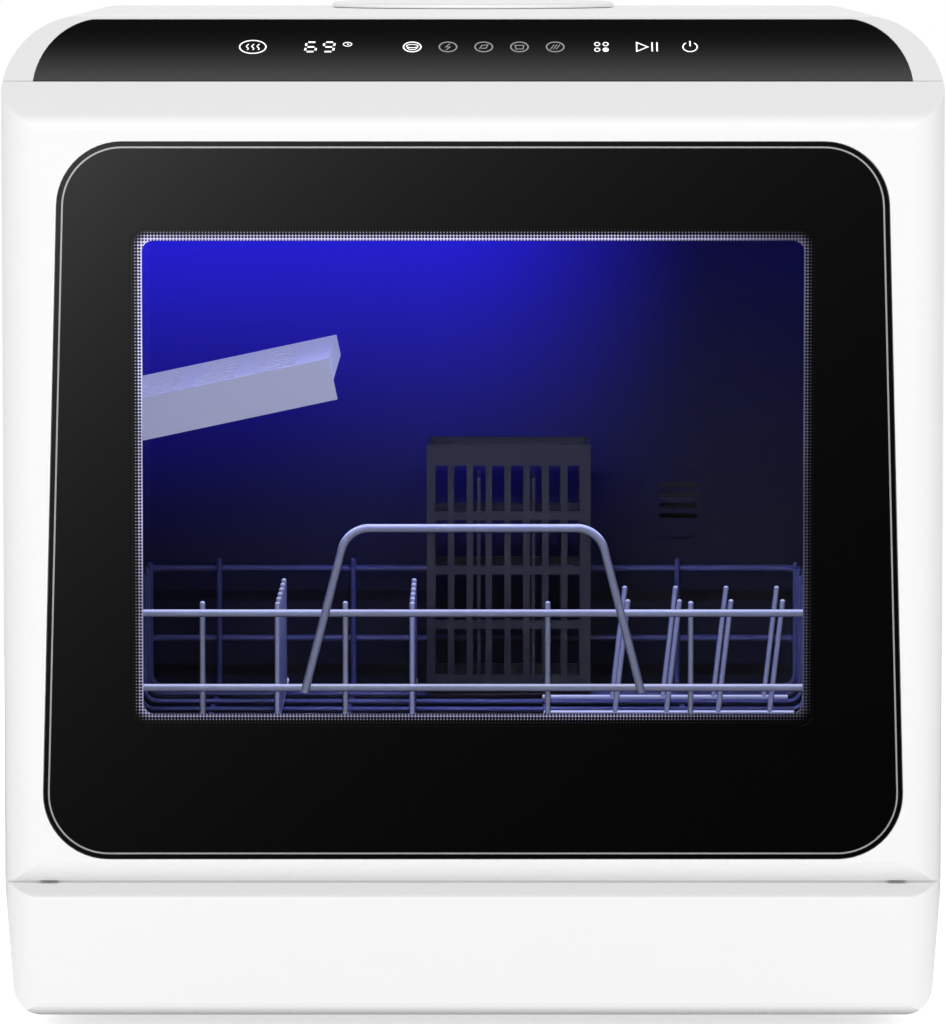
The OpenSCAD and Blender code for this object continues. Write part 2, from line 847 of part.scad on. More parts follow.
// A pump wheel on a shaft along +X: a disc with curved vanes
module pump_wheel(r, w, vanes, shaft_r, shaft_len) {
  disc_t = 2;
  hub_proud = 1;
  rotate([0, 90, 0]) {
    cylinder(h = disc_t, r = r);
    cylinder(h = w, r = r / 4);
    translate([0, 0, -shaft_len]) cylinder(h = shaft_len + disc_t / 2, r = shaft_r);
    for (i = [0:vanes - 1]) rotate(i * 360 / vanes)
      linear_extrude(w - hub_proud) vane(r);
  }
}

// One curved vane, an arc from the wheel's middle to its rim
module vane(r) {
  bow = 0.75 * r;
  vane_t = 1.6;
  intersection() {
    translate([bow, 0]) difference() {
      circle(bow);
      circle(bow - vane_t);
    }
    translate([0, 0]) square([r, r]);
    circle(r - 0.2);
  }
}

module wash_impeller() color("gainsboro")
  translate([wash_x + 6, wash_y, wash_z]) pump_wheel(30, 14, 7, 3, 40);

module drain_pump() color("darkslategray") {
  r = 24;
  difference() {
    union() {
      pipe_x(drain_pump_y, drain_pump_z, drain_pump_x - 26, drain_pump_x, r);
      pipe_x(drain_pump_y, drain_pump_z, drain_pump_x, drain_pump_x + 40, 20);
      pipe_x(drain_pump_y, drain_pump_z, drain_pump_x - 40, drain_pump_x - 26, 10);
      block([drain_pump_x + 6, drain_pump_y - 16, foot_h + 2.5],
        [drain_pump_x + 14, drain_pump_y + 16, drain_pump_z - 10]);
      pipe_y(drain_pump_x - 13, drain_pump_z + 14, drain_pump_y, drain_pump_y + 44, 8);
    }
    pipe_x(drain_pump_y, drain_pump_z, drain_pump_x - 23, drain_pump_x - 3, r - 3);
    pipe_x(drain_pump_y, drain_pump_z, -far, drain_pump_x - 20, 8);
    pipe_x(drain_pump_y, drain_pump_z, drain_pump_x - 5, drain_pump_x + 20, 2 + pin_fit);
    pipe_y(drain_pump_x - 13, drain_pump_z + 14, drain_pump_y, far, 6);
  }
}

module drain_impeller() color("gainsboro")
  translate([drain_pump_x - 7, drain_pump_y, drain_pump_z]) mirror([1, 0, 0])
    pump_wheel(18, 10, 5, 2, 20);

module heater() color("silver") {
  y = frame_y + 60;
  z = 46;
  difference() {
    union() {
      pipe_x(y, z, -150, -50, 17);
      for (x = [-150, -54]) pipe_x(y, z, x, x + 4, 20);
      for (x = [-160, -50]) pipe_x(y, z, x, x + 10, 9);
      for (x = [-140, -70]) block([x, y - 12, foot_h + 2.5], [x + 8, y + 12, z - 10]);
    }
    pipe_x(y, z, -161, -39, 7);
  }
}

module fan_housing() color("dimgray") {
  r = 50;
  w = 34;
  wall = 2;
  difference() {
    union() {
      pipe_y(fan_x, fan_z, fan_y, fan_y + w, r);
      pipe_y(fan_x, fan_z, fan_y - 24, fan_y + over, 15);
      block([fan_x, fan_y, fan_z + r - 28], [fan_x + r + 16, fan_y + w, fan_z + r]);
      pipe_y(fan_x, duct_z, tub_back + tub_t, fan_y + 1, duct_r + 5);
      both_sides_of(fan_x) block([fan_x + r - 8, fan_y + w, fan_z - 8],
        [fan_x + r + 8, fan_y + w + 2, fan_z + 8]);
    }
    pipe_y(fan_x, fan_z, fan_y + wall, fan_y + w - wall, r - wall);
    block([fan_x, fan_y + wall, fan_z + r - 26], [fan_x + r + 14, fan_y + w - wall, fan_z + r - wall]);
    pipe_y(fan_x, fan_z, fan_y + w - wall - over, far, 26);
    pipe_y(fan_x, duct_z, tub_back, fan_y + wall + over, duct_r + 2);
    pipe_y(fan_x, fan_z, fan_y - 10, fan_y + wall + over, 2 + pin_fit);
  }
}

module both_sides_of(x) {
  children();
  translate([2 * x, 0, 0]) mirror([1, 0, 0]) children();
}

module fan_wheel() color("gainsboro") {
  blades = 28;
  r = 40;
  translate([fan_x, fan_y + 5, fan_z]) rotate([-90, 0, 0]) {
    difference() {
      union() {
        cylinder(h = 2, r = r);
        cylinder(h = 12, r = 7);
      }
      translate([0, 0, 3]) cylinder(h = 12, r = 3);
    }
    translate([0, 0, -12]) cylinder(h = 13, r = 2);
    for (i = [0:blades - 1]) rotate(i * 360 / blades) translate([r - 4.5, 0, 1])
      rotate(30) translate([0, -0.6, 0]) cube([7, 1.2, 22]);
    translate([0, 0, 21]) difference() {
      cylinder(h = 2, r = r + 1);
      translate([0, 0, -over]) cylinder(h = 4, r = r - 4);
    }
  }
}

// ---- Water side ----

module water_tank() color("gainsboro") {
  r = 14;
  low = tank_top - tank_h;
  mid_y = tank_y + tank_d / 2;
  difference() {
    union() {
      translate([0, mid_y, low]) linear_extrude(tank_h) round_rect(tank_w, tank_d, r);
      pipe_z(0, lid_y, tank_top - over, tank_top + 7, neck_r + tank_t);
      pipe_z(-100, mid_y, low - 16, low + over, 10);
    }
    translate([0, mid_y, low + tank_t]) linear_extrude(tank_h - 2 * tank_t)
      round_rect(tank_w - 2 * tank_t, tank_d - 2 * tank_t, r - tank_t);
    pipe_z(0, lid_y, tank_top - 5, far, neck_r);
    pipe_z(-100, mid_y, low - 17, low + 5, 7.5);
  }
}

module fill_funnel() color("whitesmoke") {
  rim_z = body_top - skin;
  rim_r = lid_r - 4;
  bowl_r = lid_r - 9;
  wall = 2;
  low_z = tank_top + 8;
  out_r = neck_r - 0.4;
  translate([0, lid_y, 0]) rotate_extrude() polygon([[out_r, tank_top - 8], [out_r, low_z],
    [out_r + 10, low_z + 2], [bowl_r, rim_z - 10], [bowl_r, rim_z - wall], [rim_r, rim_z - wall],
    [rim_r, rim_z], [bowl_r - wall, rim_z], [bowl_r - wall, rim_z - 8.5],
    [out_r + 9, low_z + 2 + wall], [out_r - wall, low_z + wall], [out_r - wall, tank_top - 8]]);
}

module fill_lid() color("white") {
  base_z = body_top + 0.3;
  difference() {
    union() {
      translate([0, lid_y, base_z]) rotate_extrude() polygon([[0, 0], [lid_r - 0.4, 0],
        [lid_r, 0.6], [lid_r - 0.2, 1.6], [lid_r - 1.2, lid_t - 0.3], [lid_r - 2.4, lid_t], [0, lid_t]]);
      pipe_z(0, lid_y, body_top - skin + 0.4, base_z + 1, lid_r - 9.6);
      for (x = [-7, 7]) {
        pipe_x(lid_hinge[0], lid_hinge[1], x - 2.6, x + 2.6, barrel_r);
        block([x - 2.6, lid_y + lid_r - 3, base_z + 0.3], [x + 2.6, lid_hinge[0], base_z + 1.6]);
      }
    }
    pipe_z(0, lid_y, body_top - skin, base_z + 0.8, lid_r - 13);
    pipe_x(lid_hinge[0], lid_hinge[1], -60, 60, lid_pin_r + pin_fit);
    for (x = [-14, 0, 14]) block([x - 4.3, lid_y + lid_r - 2.2, body_top],
      [x + 4.3, lid_y + lid_r + 4, far]);
  }
}

module lid_pin() color("silver")
  pipe_x(lid_hinge[0], lid_hinge[1], -17.5, 17.5, lid_pin_r);

// A pipe through the recess's wall: len long outside it and inside mm long inside it
module spigot(x, r, len, inside) {
  pipe_y(x, spout_z, recess_y - skin - inside, recess_y + spigot_gap, r - 0.8);
  pipe_y(x, spout_z, recess_y - skin - 4, recess_y - skin, r + 4);
  pipe_y(x, spout_z, recess_y + spigot_gap, recess_y + spigot_gap + len, r);
}

module inlet_valve() color("white") {
  inside = 44;
  front = recess_y - skin - inside;
  difference() {
    union() {
      spigot(inlet_x, inlet_r, inlet_len, inside);
      block([inlet_x - 15, front + 4, spout_z - 18], [inlet_x + 15, front + 30, spout_z + 24]);
      pipe_z(inlet_x, front + 14, spout_z, spout_z + 36, 8);
    }
    pipe_y(inlet_x, spout_z, recess_y - 6, far, inlet_r - 3);
    pipe_z(inlet_x, front + 14, spout_z + 20, far, 5);
  }
}

module drain_spigot() color("dimgray") {
  difference() {
    spigot(drain_x, drain_r, drain_len, 40);
    pipe_y(drain_x, spout_z, -far, far, drain_r - 2.2);
  }
}

module power_gland() color("black") {
  difference() {
    union() {
      pipe_y(gland_x, spout_z, recess_y - skin - 12, recess_y + 2, 8);
      pipe_y(gland_x, spout_z, recess_y, recess_y + 8, 11);
      pipe_y(gland_x, spout_z, recess_y - skin - 6, recess_y - skin, 11);
    }
    pipe_y(gland_x, spout_z, -far, far, 3.6);
  }
}

module power_board() color("darkgreen") {
  x = 60;
  y = tub_back - 4;
  z = 16;
  w = 110;
  d = 80;
  inset = 5;
  block([x, y, z], [x + w, y + d, z + board_t]);
  for (i = [0:3]) block([x + 8 + 25 * i, y + 10, z + 1.5], [x + 24 + 25 * i, y + 26, z + 18]);
  for (i = [0:2]) pipe_z(x + 20 + 26 * i, y + 52, z + 1.5, z + 26, 9);
  for (dx = [inset, w - inset], dy = [inset, d - inset])
    pipe_z(x + dx, y + dy, foot_h + 2.5, z + 0.1, 3);
}

// ---- Rack and what is in the tub ----

// A rod bent into a quarter ring of radius r, about +Z, from angle a
module elbow(r, thick, a) {
  rotate([0, 0, a]) rotate_extrude(angle = 90) translate([r, 0]) circle(thick);
}

// A wire's end on the right, bent up at radius bend and h high above the wire
module upturn(h) {
  translate([-bend, 0, bend]) rotate([90, 0, 0]) elbow(bend, wire_r, 270);
  rod([0, 0, bend], [0, 0, h], wire_r);
  translate([0, 0, h]) sphere(wire_r);
}

// The arched wire that the rack is lifted by, its legs leaning inwards
module rack_handle() {
  leg = handle_top - rail_low;
  lean_a = atan((handle_foot - handle_half) / leg);
  y = rack_front - rail_r - handle_r + weld;
  c = [handle_half - handle_bend / cos(lean_a) + handle_bend * tan(lean_a),
    handle_top - handle_bend];
  knee = c + handle_bend * [cos(lean_a), sin(lean_a)];
  down = [sin(lean_a), -cos(lean_a)];
  translate([0, y, 0]) {
    rod([-c[0] - weld, 0, handle_top], [c[0] + weld, 0, handle_top], handle_r);
    both_sides() {
      translate([c[0], 0, c[1]]) rotate([90, 0, 0]) rotate([0, 0, lean_a])
        rotate_extrude(angle = 90 - lean_a) translate([handle_bend, 0])
          circle(handle_r + bend_swell);
      rod([knee[0] - weld * down[0], 0, knee[1] - weld * down[1]],
        [handle_foot + 2 * down[0], 0, rail_low + 2 * down[1]], handle_r);
    }
  }
}

// A plate tine: a wire bent to an upside-down V along its base wire
module tine(x, y) {
  top = tine_z + tine_h;
  for (s = [-1, 1]) rod([x, y + s * tine_spread / 2, tine_z], [x, y, top], wire_r);
  translate([x, y, top]) sphere(wire_r);
}

// A single plate tine that leans to the right
module leaning_tine(x, y, z) {
  tip = [x + tine_lean, y, z + tine_h];
  rod([x, y, z], tip, wire_r);
  translate(tip) sphere(wire_r);
}

// The net at the rack's back, about the rack's middle; mirrored, it is the net at its front
module rack_end() {
  half_len = rack_len / 2;
  straight = rack_w / 2 - rack_corner;
  for (z = [rail_low, rail_high]) translate([0, 0, z]) {
    rod([-straight, half_len, 0], [straight, half_len, 0], rail_r);
    both_sides() translate([straight, half_len - rack_corner, 0])
      elbow(rack_corner, rail_r, 0);
  }
  for (x = post_x) translate([x, half_len - post_in, grid_z]) rotate(90)
    upturn(rail_high + post_rise - grid_z);
}

module rack_front() color("slategray") {
  translate([0, rack_mid, 0]) mirror([0, 1, 0]) rack_end();
  rack_handle();
}

module rack_back() color("slategray") {
  translate([0, rack_mid, 0]) rack_end();
}

module rack_sides() color("slategray") {
  both_sides() {
    for (z = [rail_low, rail_high]) rod([rack_w / 2, rack_front + rack_corner, z],
      [rack_w / 2, rack_back - rack_corner, z], rail_r);
    for (y = cross_y) translate([side_x, y, cross_z]) upturn(rail_high + post_rise - cross_z);
  }
}

module rack_floor() color("slategray") {
  long_half = rack_len / 2 - post_in - bend;
  for (x = post_x) rod([x, rack_mid - long_half, grid_z], [x, rack_mid + long_half, grid_z], wire_r);
  for (y = cross_y) rod([bend - side_x, y, cross_z], [side_x - bend, y, cross_z], wire_r);
}

// The plate tines: rows along the rack on the left, rows across it on the right
module rack_tines() color("slategray") {
  for (x = tine_x) {
    rod([x, cross_y[0] - 4, tine_z], [x, cross_y[5] + 4, tine_z], wire_r);
    for (i = [0:5]) tine(x, cross_y[0] + 12 + i * tine_pitch);
  }
  for (y = [cross_y[1], cross_y[3]] + [14, 14]) {
    z = grid_z + 2 * wire_r;
    rod([post_x[2] - 1, y, z], [side_x - bend, y, z], wire_r);
    for (i = [0:3]) leaning_tine(66 + i * tine_pitch, y, z);
  }
}

module rack_guides() color("gray") {
  top = rail_low - rail_r - 0.3;
  both_sides() {
    block([rack_w / 2 - rail_r + 0.9, frame_y + 6, top - guide_t], [tub_w / 2, tub_back - 10, top]);
    block([tub_w / 2 - 2.5, frame_y + 6, top - 12], [tub_w / 2, tub_back - 10, top + 14]);
    block([rack_w / 2 + rail_r + 0.8, frame_y + 6, top + 11], [tub_w / 2, tub_back - 10, top + 14]);
  }
}

module cutlery_basket() color("dimgray") {
  w = 78;
  d = 54;
  low = grid_z + 4;
  h = 118;
  wall = 2;
  x0 = -22;
  y0 = rack_back - 66;
  difference() {
    block([x0, y0, low], [x0 + w, y0 + d, low + h]);
    block([x0 + wall, y0 + wall, low + wall], [x0 + w - wall, y0 + d - wall, far]);
    for (i = [0:7], j = [0:3]) block([x0 + 4 + 9 * i, y0 - over, low + 8 + 26 * j],
      [x0 + 10 + 9 * i, y0 + d + over, low + 30 + 26 * j]);
    for (i = [0:4], j = [0:3]) block([x0 - over, y0 + 5 + 9.4 * i, low + 8 + 26 * j],
      [x0 + w + over, y0 + 11 + 9.4 * i, low + 30 + 26 * j]);
    for (i = [0:7], j = [0:4]) block([x0 + 4 + 9 * i, y0 + 5 + 9.4 * j, low - over],
      [x0 + 10 + 9 * i, y0 + 11 + 9.4 * j, low + wall + over]);
  }
  for (x = [x0 + 24, x0 + 50]) block([x, y0 + 1, low + 1], [x + 1.6, y0 + d - 1, low + h - 16]);
}

module cup_shelf() color("silver") {
  plate_t = 2;
  lip_h = 18;
  difference() {
    translate([shelf_x, shelf_y0, shelf_z]) rotate([0, -shelf_a, 0]) {
      difference() {
        union() {
          block([0, 0, -plate_t / 2], [shelf_w, shelf_len, plate_t / 2]);
          block([6, 0, -lip_h], [shelf_w, plate_t, plate_t / 2]);
          block([shelf_w - plate_t, 0, -lip_h / 2], [shelf_w, shelf_len, plate_t / 2]);
          for (y = ear_y) translate([0, y, 0]) rotate([-90, 0, 0])
            cylinder(h = ear_w, r = pivot_r + 2);
        }
        for (i = [0:6], j = [0:2]) translate([22 + 28 * j, 20 + 25 * i, 0])
          linear_extrude(20, center = true) round_rect(20, 8, 3.9);
      }
    }
    pipe_y(shelf_x, shelf_z, -far, far, pivot_r + pin_fit);
    for (y = ear_y) {
      block([shelf_x - 8, shelf_y0 + y - 8, shelf_z - 8],
        [shelf_x + 6, shelf_y0 + y - 0.5, shelf_z + 8]);
      block([shelf_x - 8, shelf_y0 + y + ear_w + 0.5, shelf_z - 8],
        [shelf_x + 6, shelf_y0 + y + ear_w + 8, shelf_z + 8]);
    }
  }
}

module shelf_brackets() color("gray") {
  for (y = ear_y) {
    pipe_y(shelf_x, shelf_z, shelf_y0 + y - 6, shelf_y0 + y + ear_w + 6, pivot_r);
    for (e = [y - 6, y + ear_w + 1.5]) hull() {
      pipe_y(shelf_x, shelf_z, shelf_y0 + e, shelf_y0 + e + 4.5, pivot_r + 1.5);
      block([-tub_w / 2, shelf_y0 + e, shelf_z - 8], [-tub_w / 2 + 1, shelf_y0 + e + 4.5, shelf_z + 8]);
    }
  }
}

// ---- Hinges and door ----

module hinge_bracket() {
  low = foot_h + 2.5;
  root_y = frame_y + hinge_root;
  difference() {
    union() {
      along_x(hinge_x, hinge_x + arm_t) {
        translate([hinge_y, hinge_z]) circle(arm_r);
        translate([hinge_y, hinge_z - arm_drop])
          square([root_y + hinge_root_w - hinge_y, arm_drop + arm_r]);
        translate([root_y, low]) square([hinge_root_w, hinge_z + arm_r - low]);
      }
      block([hinge_x - hinge_foot_w, root_y, low], [hinge_x + arm_t, root_y + hinge_root_w, low + 2]);
    }
    pipe_x(hinge_y, hinge_z, -far, far, hinge_pin_r + pin_fit);
    for (y = [6, hinge_root_w - 6]) pipe_z(hinge_x - hinge_foot_w / 2, root_y + y, 0, 30, 2.2);
  }
}

module hinge_bracket_left() color("silver") mirror([1, 0, 0]) hinge_bracket();

module hinge_bracket_right() color("silver") hinge_bracket();

module hinge_pins() color("silver") both_sides()
  pipe_x(hinge_y, hinge_z, hinge_x + arm_t / 2 - pin_len / 2, hinge_x + arm_t / 2 + pin_len / 2,
    hinge_pin_r);

// The door's own side outline as (y, z), drawn inwards by t
module door_outline(t) {
  intersection() {
    side_outline(t);
    below_seam(-t, -t, door_back - t);
    union() {
      translate([hinge_y, hinge_z]) circle(hinge_r - t);
      translate([front_y - over, hinge_z]) square([far, far]);
      translate([hinge_y, door_low + t]) square([far, far]);
    }
  }
}

module door_solid(t) {
  intersection() {
    along_y(-far, far) front_outline(t);
    along_x(-far, far) door_outline(t);
    along_z(-far, far) round_rect(body_w - 2 * t, body_d - 2 * t, edge_r - t);
  }
}

// The room in the door that the hinge arms need while the door swings
module hinge_pocket() {
  both_sides() along_x(hinge_x - arm_room, hinge_x + arm_t + arm_room) {
    translate([hinge_y, hinge_z]) circle(arm_r + arm_clear);
    translate([hinge_y - arm_drop - arm_clear, door_low - over])
      square([door_back + over - hinge_y + arm_drop + arm_clear,
        hinge_z + arm_r + arm_clear - door_low + over]);
  }
}

module door_frame() color("white") {
  boss_r = hinge_r - skin + 0.5;
  difference() {
    union() {
      difference() {
        door_solid(0);
        door_solid(skin);
        intersection() {
          along_y(door_back - skin - over, door_back + over)
            square([2 * far, 2 * far], center = true);
          along_y(-far, far) front_outline(skin);
          block([-far, -far, door_low + skin], [far, far, door_top - skin]);
        }
      }
      along_y(front_y + 0.5, glass_back + ledge_t) glass_outline(skin);
      both_sides() pipe_x(hinge_y, hinge_z, hinge_x - 9, hinge_x + arm_t + 9, boss_r);
    }
    along_y(front_y - over, glass_back) glass_outline(0.3);
    along_y(-far, far) at_window() round_rect(opening_w, opening_h, 9);
    hinge_pocket();
    both_sides() pipe_x(hinge_y, hinge_z, hinge_x + arm_t / 2 - pin_len / 2,
      hinge_x + arm_t / 2 + pin_len / 2, hinge_pin_r);
  }
}

module door_glass() color("black") along_y(front_y, glass_back) glass_outline(0);

module window_spacer() color("black") {
  wall = 2;
  front = glass_back + ledge_t;
  back = door_back - liner_t - pane_t;
  difference() {
    union() {
      along_y(front, back) at_window()
        round_rect(opening_w + 2 * wall, opening_h + 2 * wall, 9 + wall);
      along_y(back - wall, back) at_window() round_rect(opening_w + 16, opening_h + 16, 12);
    }
    along_y(front - over, back + over) at_window() round_rect(opening_w, opening_h, 9);
  }
}

module door_liner() color("gainsboro") {
  gap = 0.3;
  difference() {
    union() {
      intersection() {
        along_y(door_back - liner_t, door_back) front_outline(skin + gap);
        block([-far, -far, door_low + skin + gap], [far, far, door_top - skin - gap]);
      }
      along_y(door_back - liner_t - pane_t, door_back) at_window()
        round_rect(opening_w + 24, opening_h + 24, 16);
    }
    along_y(-far, far) at_window() round_rect(opening_w - 6, opening_h - 6, 7);
    along_y(-far, door_back - liner_t) at_window() round_rect(opening_w + 18, opening_h + 18, 13);
    hinge_pocket();
  }
}

module inner_pane() color("lightblue")
  along_y(door_back - liner_t - pane_t, door_back - liner_t) at_window()
    round_rect(opening_w + 16, opening_h + 16, 12);

module door_catch() color("silver") {
  z = door_top - 5.6;
  difference() {
    union() {
      block([-10, door_back, z - 4], [10, door_back + 1.5, z + 1]);
      block([-10, door_back, z], [10, door_back + 16, z + 1.6]);
    }
    block([-6, door_back + 6, z - over], [6, door_back + 12, z + 3]);
  }
}

module latch_body() color("dimgray") {
  difference() {
    union() {
      for (x = [-9, 6.5]) block([x, frame_y + 14, tub_top + 16], [x + 2.5, hook_y + 10, hook_z + 9]);
      block([-9, hook_y + 7.5, tub_top + 16], [9, hook_y + 10, hook_z + 9]);
      block([12, frame_y + 3, tub_top + 16], [20, frame_y + 26, hook_z + 6]);
      block([6.5, frame_y + 14, hook_z + 2], [14, frame_y + 24, hook_z + 6]);
    }
    pipe_x(hook_y, hook_z, -10, 10, 1.5);
  }
  pipe_x(hook_y, hook_z, -9, 9, 1.5);
}

module latch_hook() color("orange") {
  tip = door_back + 7;
  z = door_top - 5.6 + 1.6 + 0.5;
  difference() {
    union() {
      along_x(-5, 5) polygon([[hook_y, hook_z - 2.6], [tip + 6, z + 0.4], [tip + 4, z],
        [tip, z], [tip - 2, z + 2.5], [tip + 6, z + 4.5], [hook_y, hook_z + 2.8]]);
      pipe_x(hook_y, hook_z, -5.5, 5.5, 3.2);
    }
    pipe_x(hook_y, hook_z, -6, 6, 1.5 + pin_fit);
  }
}

base_pan();
feet();
lower_front_panel();
side_cover_left();
side_cover_right();
top_cover();
rear_panel();
cover_screws();
control_panel();
control_board();
display_module();
front_frame();
tub();
air_grille();
door_seal();
interior_lamp();
sump();
filter_plate();
filter_cup();
spray_hub();
spray_arm();
upper_nozzle();
wash_pump();
wash_impeller();
drain_pump();
drain_impeller();
heater();
water_tank();
fill_funnel();
fill_lid();
lid_pin();
inlet_valve();
drain_spigot();
power_gland();
power_board();
fan_housing();
fan_wheel();
cup_shelf();
shelf_brackets();
rack_guides();
rack_front();
rack_back();
rack_sides();
rack_floor();
rack_tines();
cutlery_basket();
hinge_bracket_left();
hinge_bracket_right();
hinge_pins();
door_frame();
door_glass();
window_spacer();
door_liner();
inner_pane();
door_catch();
latch_body();
latch_hook();
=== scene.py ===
"""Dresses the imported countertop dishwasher: finishes, printed glass, marks, light, camera."""

import logging
import math
from dataclasses import dataclass
from enum import Enum
from typing import Callable, Iterable, Sequence

import bmesh
import bpy
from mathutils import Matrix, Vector


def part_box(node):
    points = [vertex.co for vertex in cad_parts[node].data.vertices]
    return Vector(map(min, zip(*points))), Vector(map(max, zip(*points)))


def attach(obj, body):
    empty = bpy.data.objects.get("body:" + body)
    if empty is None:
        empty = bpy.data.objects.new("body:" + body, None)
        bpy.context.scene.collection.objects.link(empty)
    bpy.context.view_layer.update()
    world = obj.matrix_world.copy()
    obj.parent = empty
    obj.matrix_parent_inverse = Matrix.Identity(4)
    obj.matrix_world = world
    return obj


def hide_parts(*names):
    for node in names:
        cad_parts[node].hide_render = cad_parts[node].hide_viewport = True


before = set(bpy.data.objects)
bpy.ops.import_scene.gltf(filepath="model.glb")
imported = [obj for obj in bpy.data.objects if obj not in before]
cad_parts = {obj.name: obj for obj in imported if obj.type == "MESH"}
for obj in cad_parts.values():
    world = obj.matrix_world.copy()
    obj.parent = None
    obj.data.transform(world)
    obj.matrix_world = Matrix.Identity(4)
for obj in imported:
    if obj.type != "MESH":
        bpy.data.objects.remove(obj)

log = logging.getLogger("dishwasher")
MM = 0.001
FRONT_Y = -217.5
Colour = tuple[float, float, float]
Solid = tuple[float, float, float, float]
Point = tuple[float, float]
Point3 = tuple[float, float, float]
Placer = Callable[[float, float, float], Vector]


def from_srgb(red: int, green: int, blue: int) -> Colour:
    """Turns a colour as seen on a screen into the linear one that shaders take.

    Args:
        red: The red part, 0 to 255.
        green: The green part, 0 to 255.
        blue: The blue part, 0 to 255.

    Returns:
        The linear colour.
    """
    def linear(part: int) -> float:
        share = part / 255
        return share / 12.92 if share <= 0.04045 else ((share + 0.055) / 1.055) ** 2.4
    return linear(red), linear(green), linear(blue)


def solid(colour: Colour) -> Solid:
    """Gives a colour the full opacity that shader sockets ask for."""
    return (*colour, 1)


def grey(level: float) -> Colour:
    """Gives the grey of a linear level."""
    return level, level, level


# ---- Shader nodes ----


class Sheet:
    """Writes nodes and links into one shader tree."""

    def __init__(self, tree: bpy.types.NodeTree) -> None:
        """Keeps the tree that the nodes go into.

        Args:
            tree: The material's or group's node tree.
        """
        self.tree = tree

    def add(self, kind: str, **settings: object) -> bpy.types.Node:
        """Adds a node.

        Args:
            kind: The node's type name.
            settings: Its properties.

        Returns:
            The new node.
        """
        node = self.tree.nodes.new(kind)
        for name, value in settings.items():
            setattr(node, name, value)
        return node

    def plug(self, source: object, target: bpy.types.NodeSocket) -> None:
        """Links a socket, or sets a constant.

        Args:
            source: An output socket or a plain value.
            target: The input socket.
        """
        if isinstance(source, bpy.types.NodeSocket):
            self.tree.links.new(source, target)
        else:
            target.default_value = source

    def sums(self, operation: str, *terms: object, clamp: bool = False) -> bpy.types.NodeSocket:
        """Adds a Math node.

        Args:
            operation: The operation's name.
            terms: Sockets or numbers, in order.
            clamp: Whether the result stays between 0 and 1.

        Returns:
            The node's output.
        """
        node = self.add("ShaderNodeMath", operation=operation, use_clamp=clamp)
        for term, target in zip(terms, node.inputs):
            self.plug(term, target)
        return node.outputs[0]

    def ramp(self, value: object, start: object, end: object) -> bpy.types.NodeSocket:
        """Turns a value into a smooth share of the way between two others.

        Args:
            value: The socket that is measured.
            start: Where the share is 0.
            end: Where the share is 1.

        Returns:
            The share, from 0 to 1.
        """
        node = self.add("ShaderNodeMapRange", interpolation_type="SMOOTHSTEP")
        for name, source in (("Value", value), ("From Min", start), ("From Max", end)):
            self.plug(source, node.inputs[name])
        return node.outputs["Result"]

    def mix(self, share: object, first: object, second: object) -> bpy.types.NodeSocket:
        """Mixes two colours.

        Args:
            share: How much of the second colour shows.
            first: The first colour.
            second: The second colour.

        Returns:
            The mixed colour.
        """
        node = self.add("ShaderNodeMix", data_type="RGBA")
        for source, target in zip((share, first, second),
                                  (node.inputs[0], node.inputs[6], node.inputs[7])):
            self.plug(source, target)
        return node.outputs[2]

    def parts(self, kind: str) -> tuple[bpy.types.NodeSocket, bpy.types.bpy_prop_collection]:
        """Reads one of the texture coordinates.

        Args:
            kind: Object for the place in metres, Normal for the facing, Generated for the sky.

        Returns:
            The coordinate, and its X, Y and Z sockets by name.
        """
        spot = self.add("ShaderNodeTexCoord").outputs[kind]
        split = self.add("ShaderNodeSeparateXYZ")
        self.plug(spot, split.inputs[0])
        return spot, split.outputs

    def noise(self, spot: object, scale: float, detail: float = 2) -> bpy.types.NodeSocket:
        """Adds a noise pattern.

        Args:
            spot: The coordinates it is read at.
            scale: How fine it is.
            detail: How many finer layers it has.

        Returns:
            The noise, about 0 to 1.
        """
        node = self.add("ShaderNodeTexNoise")
        self.plug(spot, node.inputs["Vector"])
        self.plug(scale, node.inputs["Scale"])
        node.inputs["Detail"].default_value = detail
        return node.outputs["Fac"]


class Socket(Enum):
    """The kinds of socket that an effect has."""

    VALUE = "NodeSocketFloat"
    COLOUR = "NodeSocketColor"


DARK_TO_PALE = (("Dark", Socket.COLOUR), ("Pale", Socket.COLOUR))
ONE_COLOUR = (("Colour", Socket.COLOUR),)
SKIN_SOCKETS = (("Colour", Socket.COLOUR), ("Roughness", Socket.VALUE),
                ("Height", Socket.VALUE))
UNLIT = solid(grey(0))


@dataclass(frozen=True)
class Effect:
    """A shared shader effect: its name, its sockets and what draws it."""

    name: str
    takes: tuple[tuple[str, Socket], ...]
    gives: tuple[tuple[str, Socket], ...]
    draw: Callable[[Sheet, bpy.types.Node, bpy.types.Node], None]

    def group(self) -> bpy.types.NodeTree:
        """Gives the effect's node group, which is made once.

        Returns:
            The group.
        """
        found = bpy.data.node_groups.get(self.name)
        if found:
            return found
        tree = bpy.data.node_groups.new(self.name, "ShaderNodeTree")
        for way, sockets in (("INPUT", self.takes), ("OUTPUT", self.gives)):
            for name, kind in sockets:
                tree.interface.new_socket(name, in_out=way, socket_type=kind.value)
        sheet = Sheet(tree)
        self.draw(sheet, sheet.add("NodeGroupInput"), sheet.add("NodeGroupOutput"))
        return tree

    def use(self, sheet: Sheet, **values: object) -> bpy.types.Node:
        """Puts the effect into a material.

        Args:
            sheet: The material's sheet.
            values: The group's inputs by name.

        Returns:
            The group node.
        """
        node = sheet.add("ShaderNodeGroup", node_tree=self.group())
        for name, value in values.items():
            sheet.plug(value, node.inputs[name])
        return node


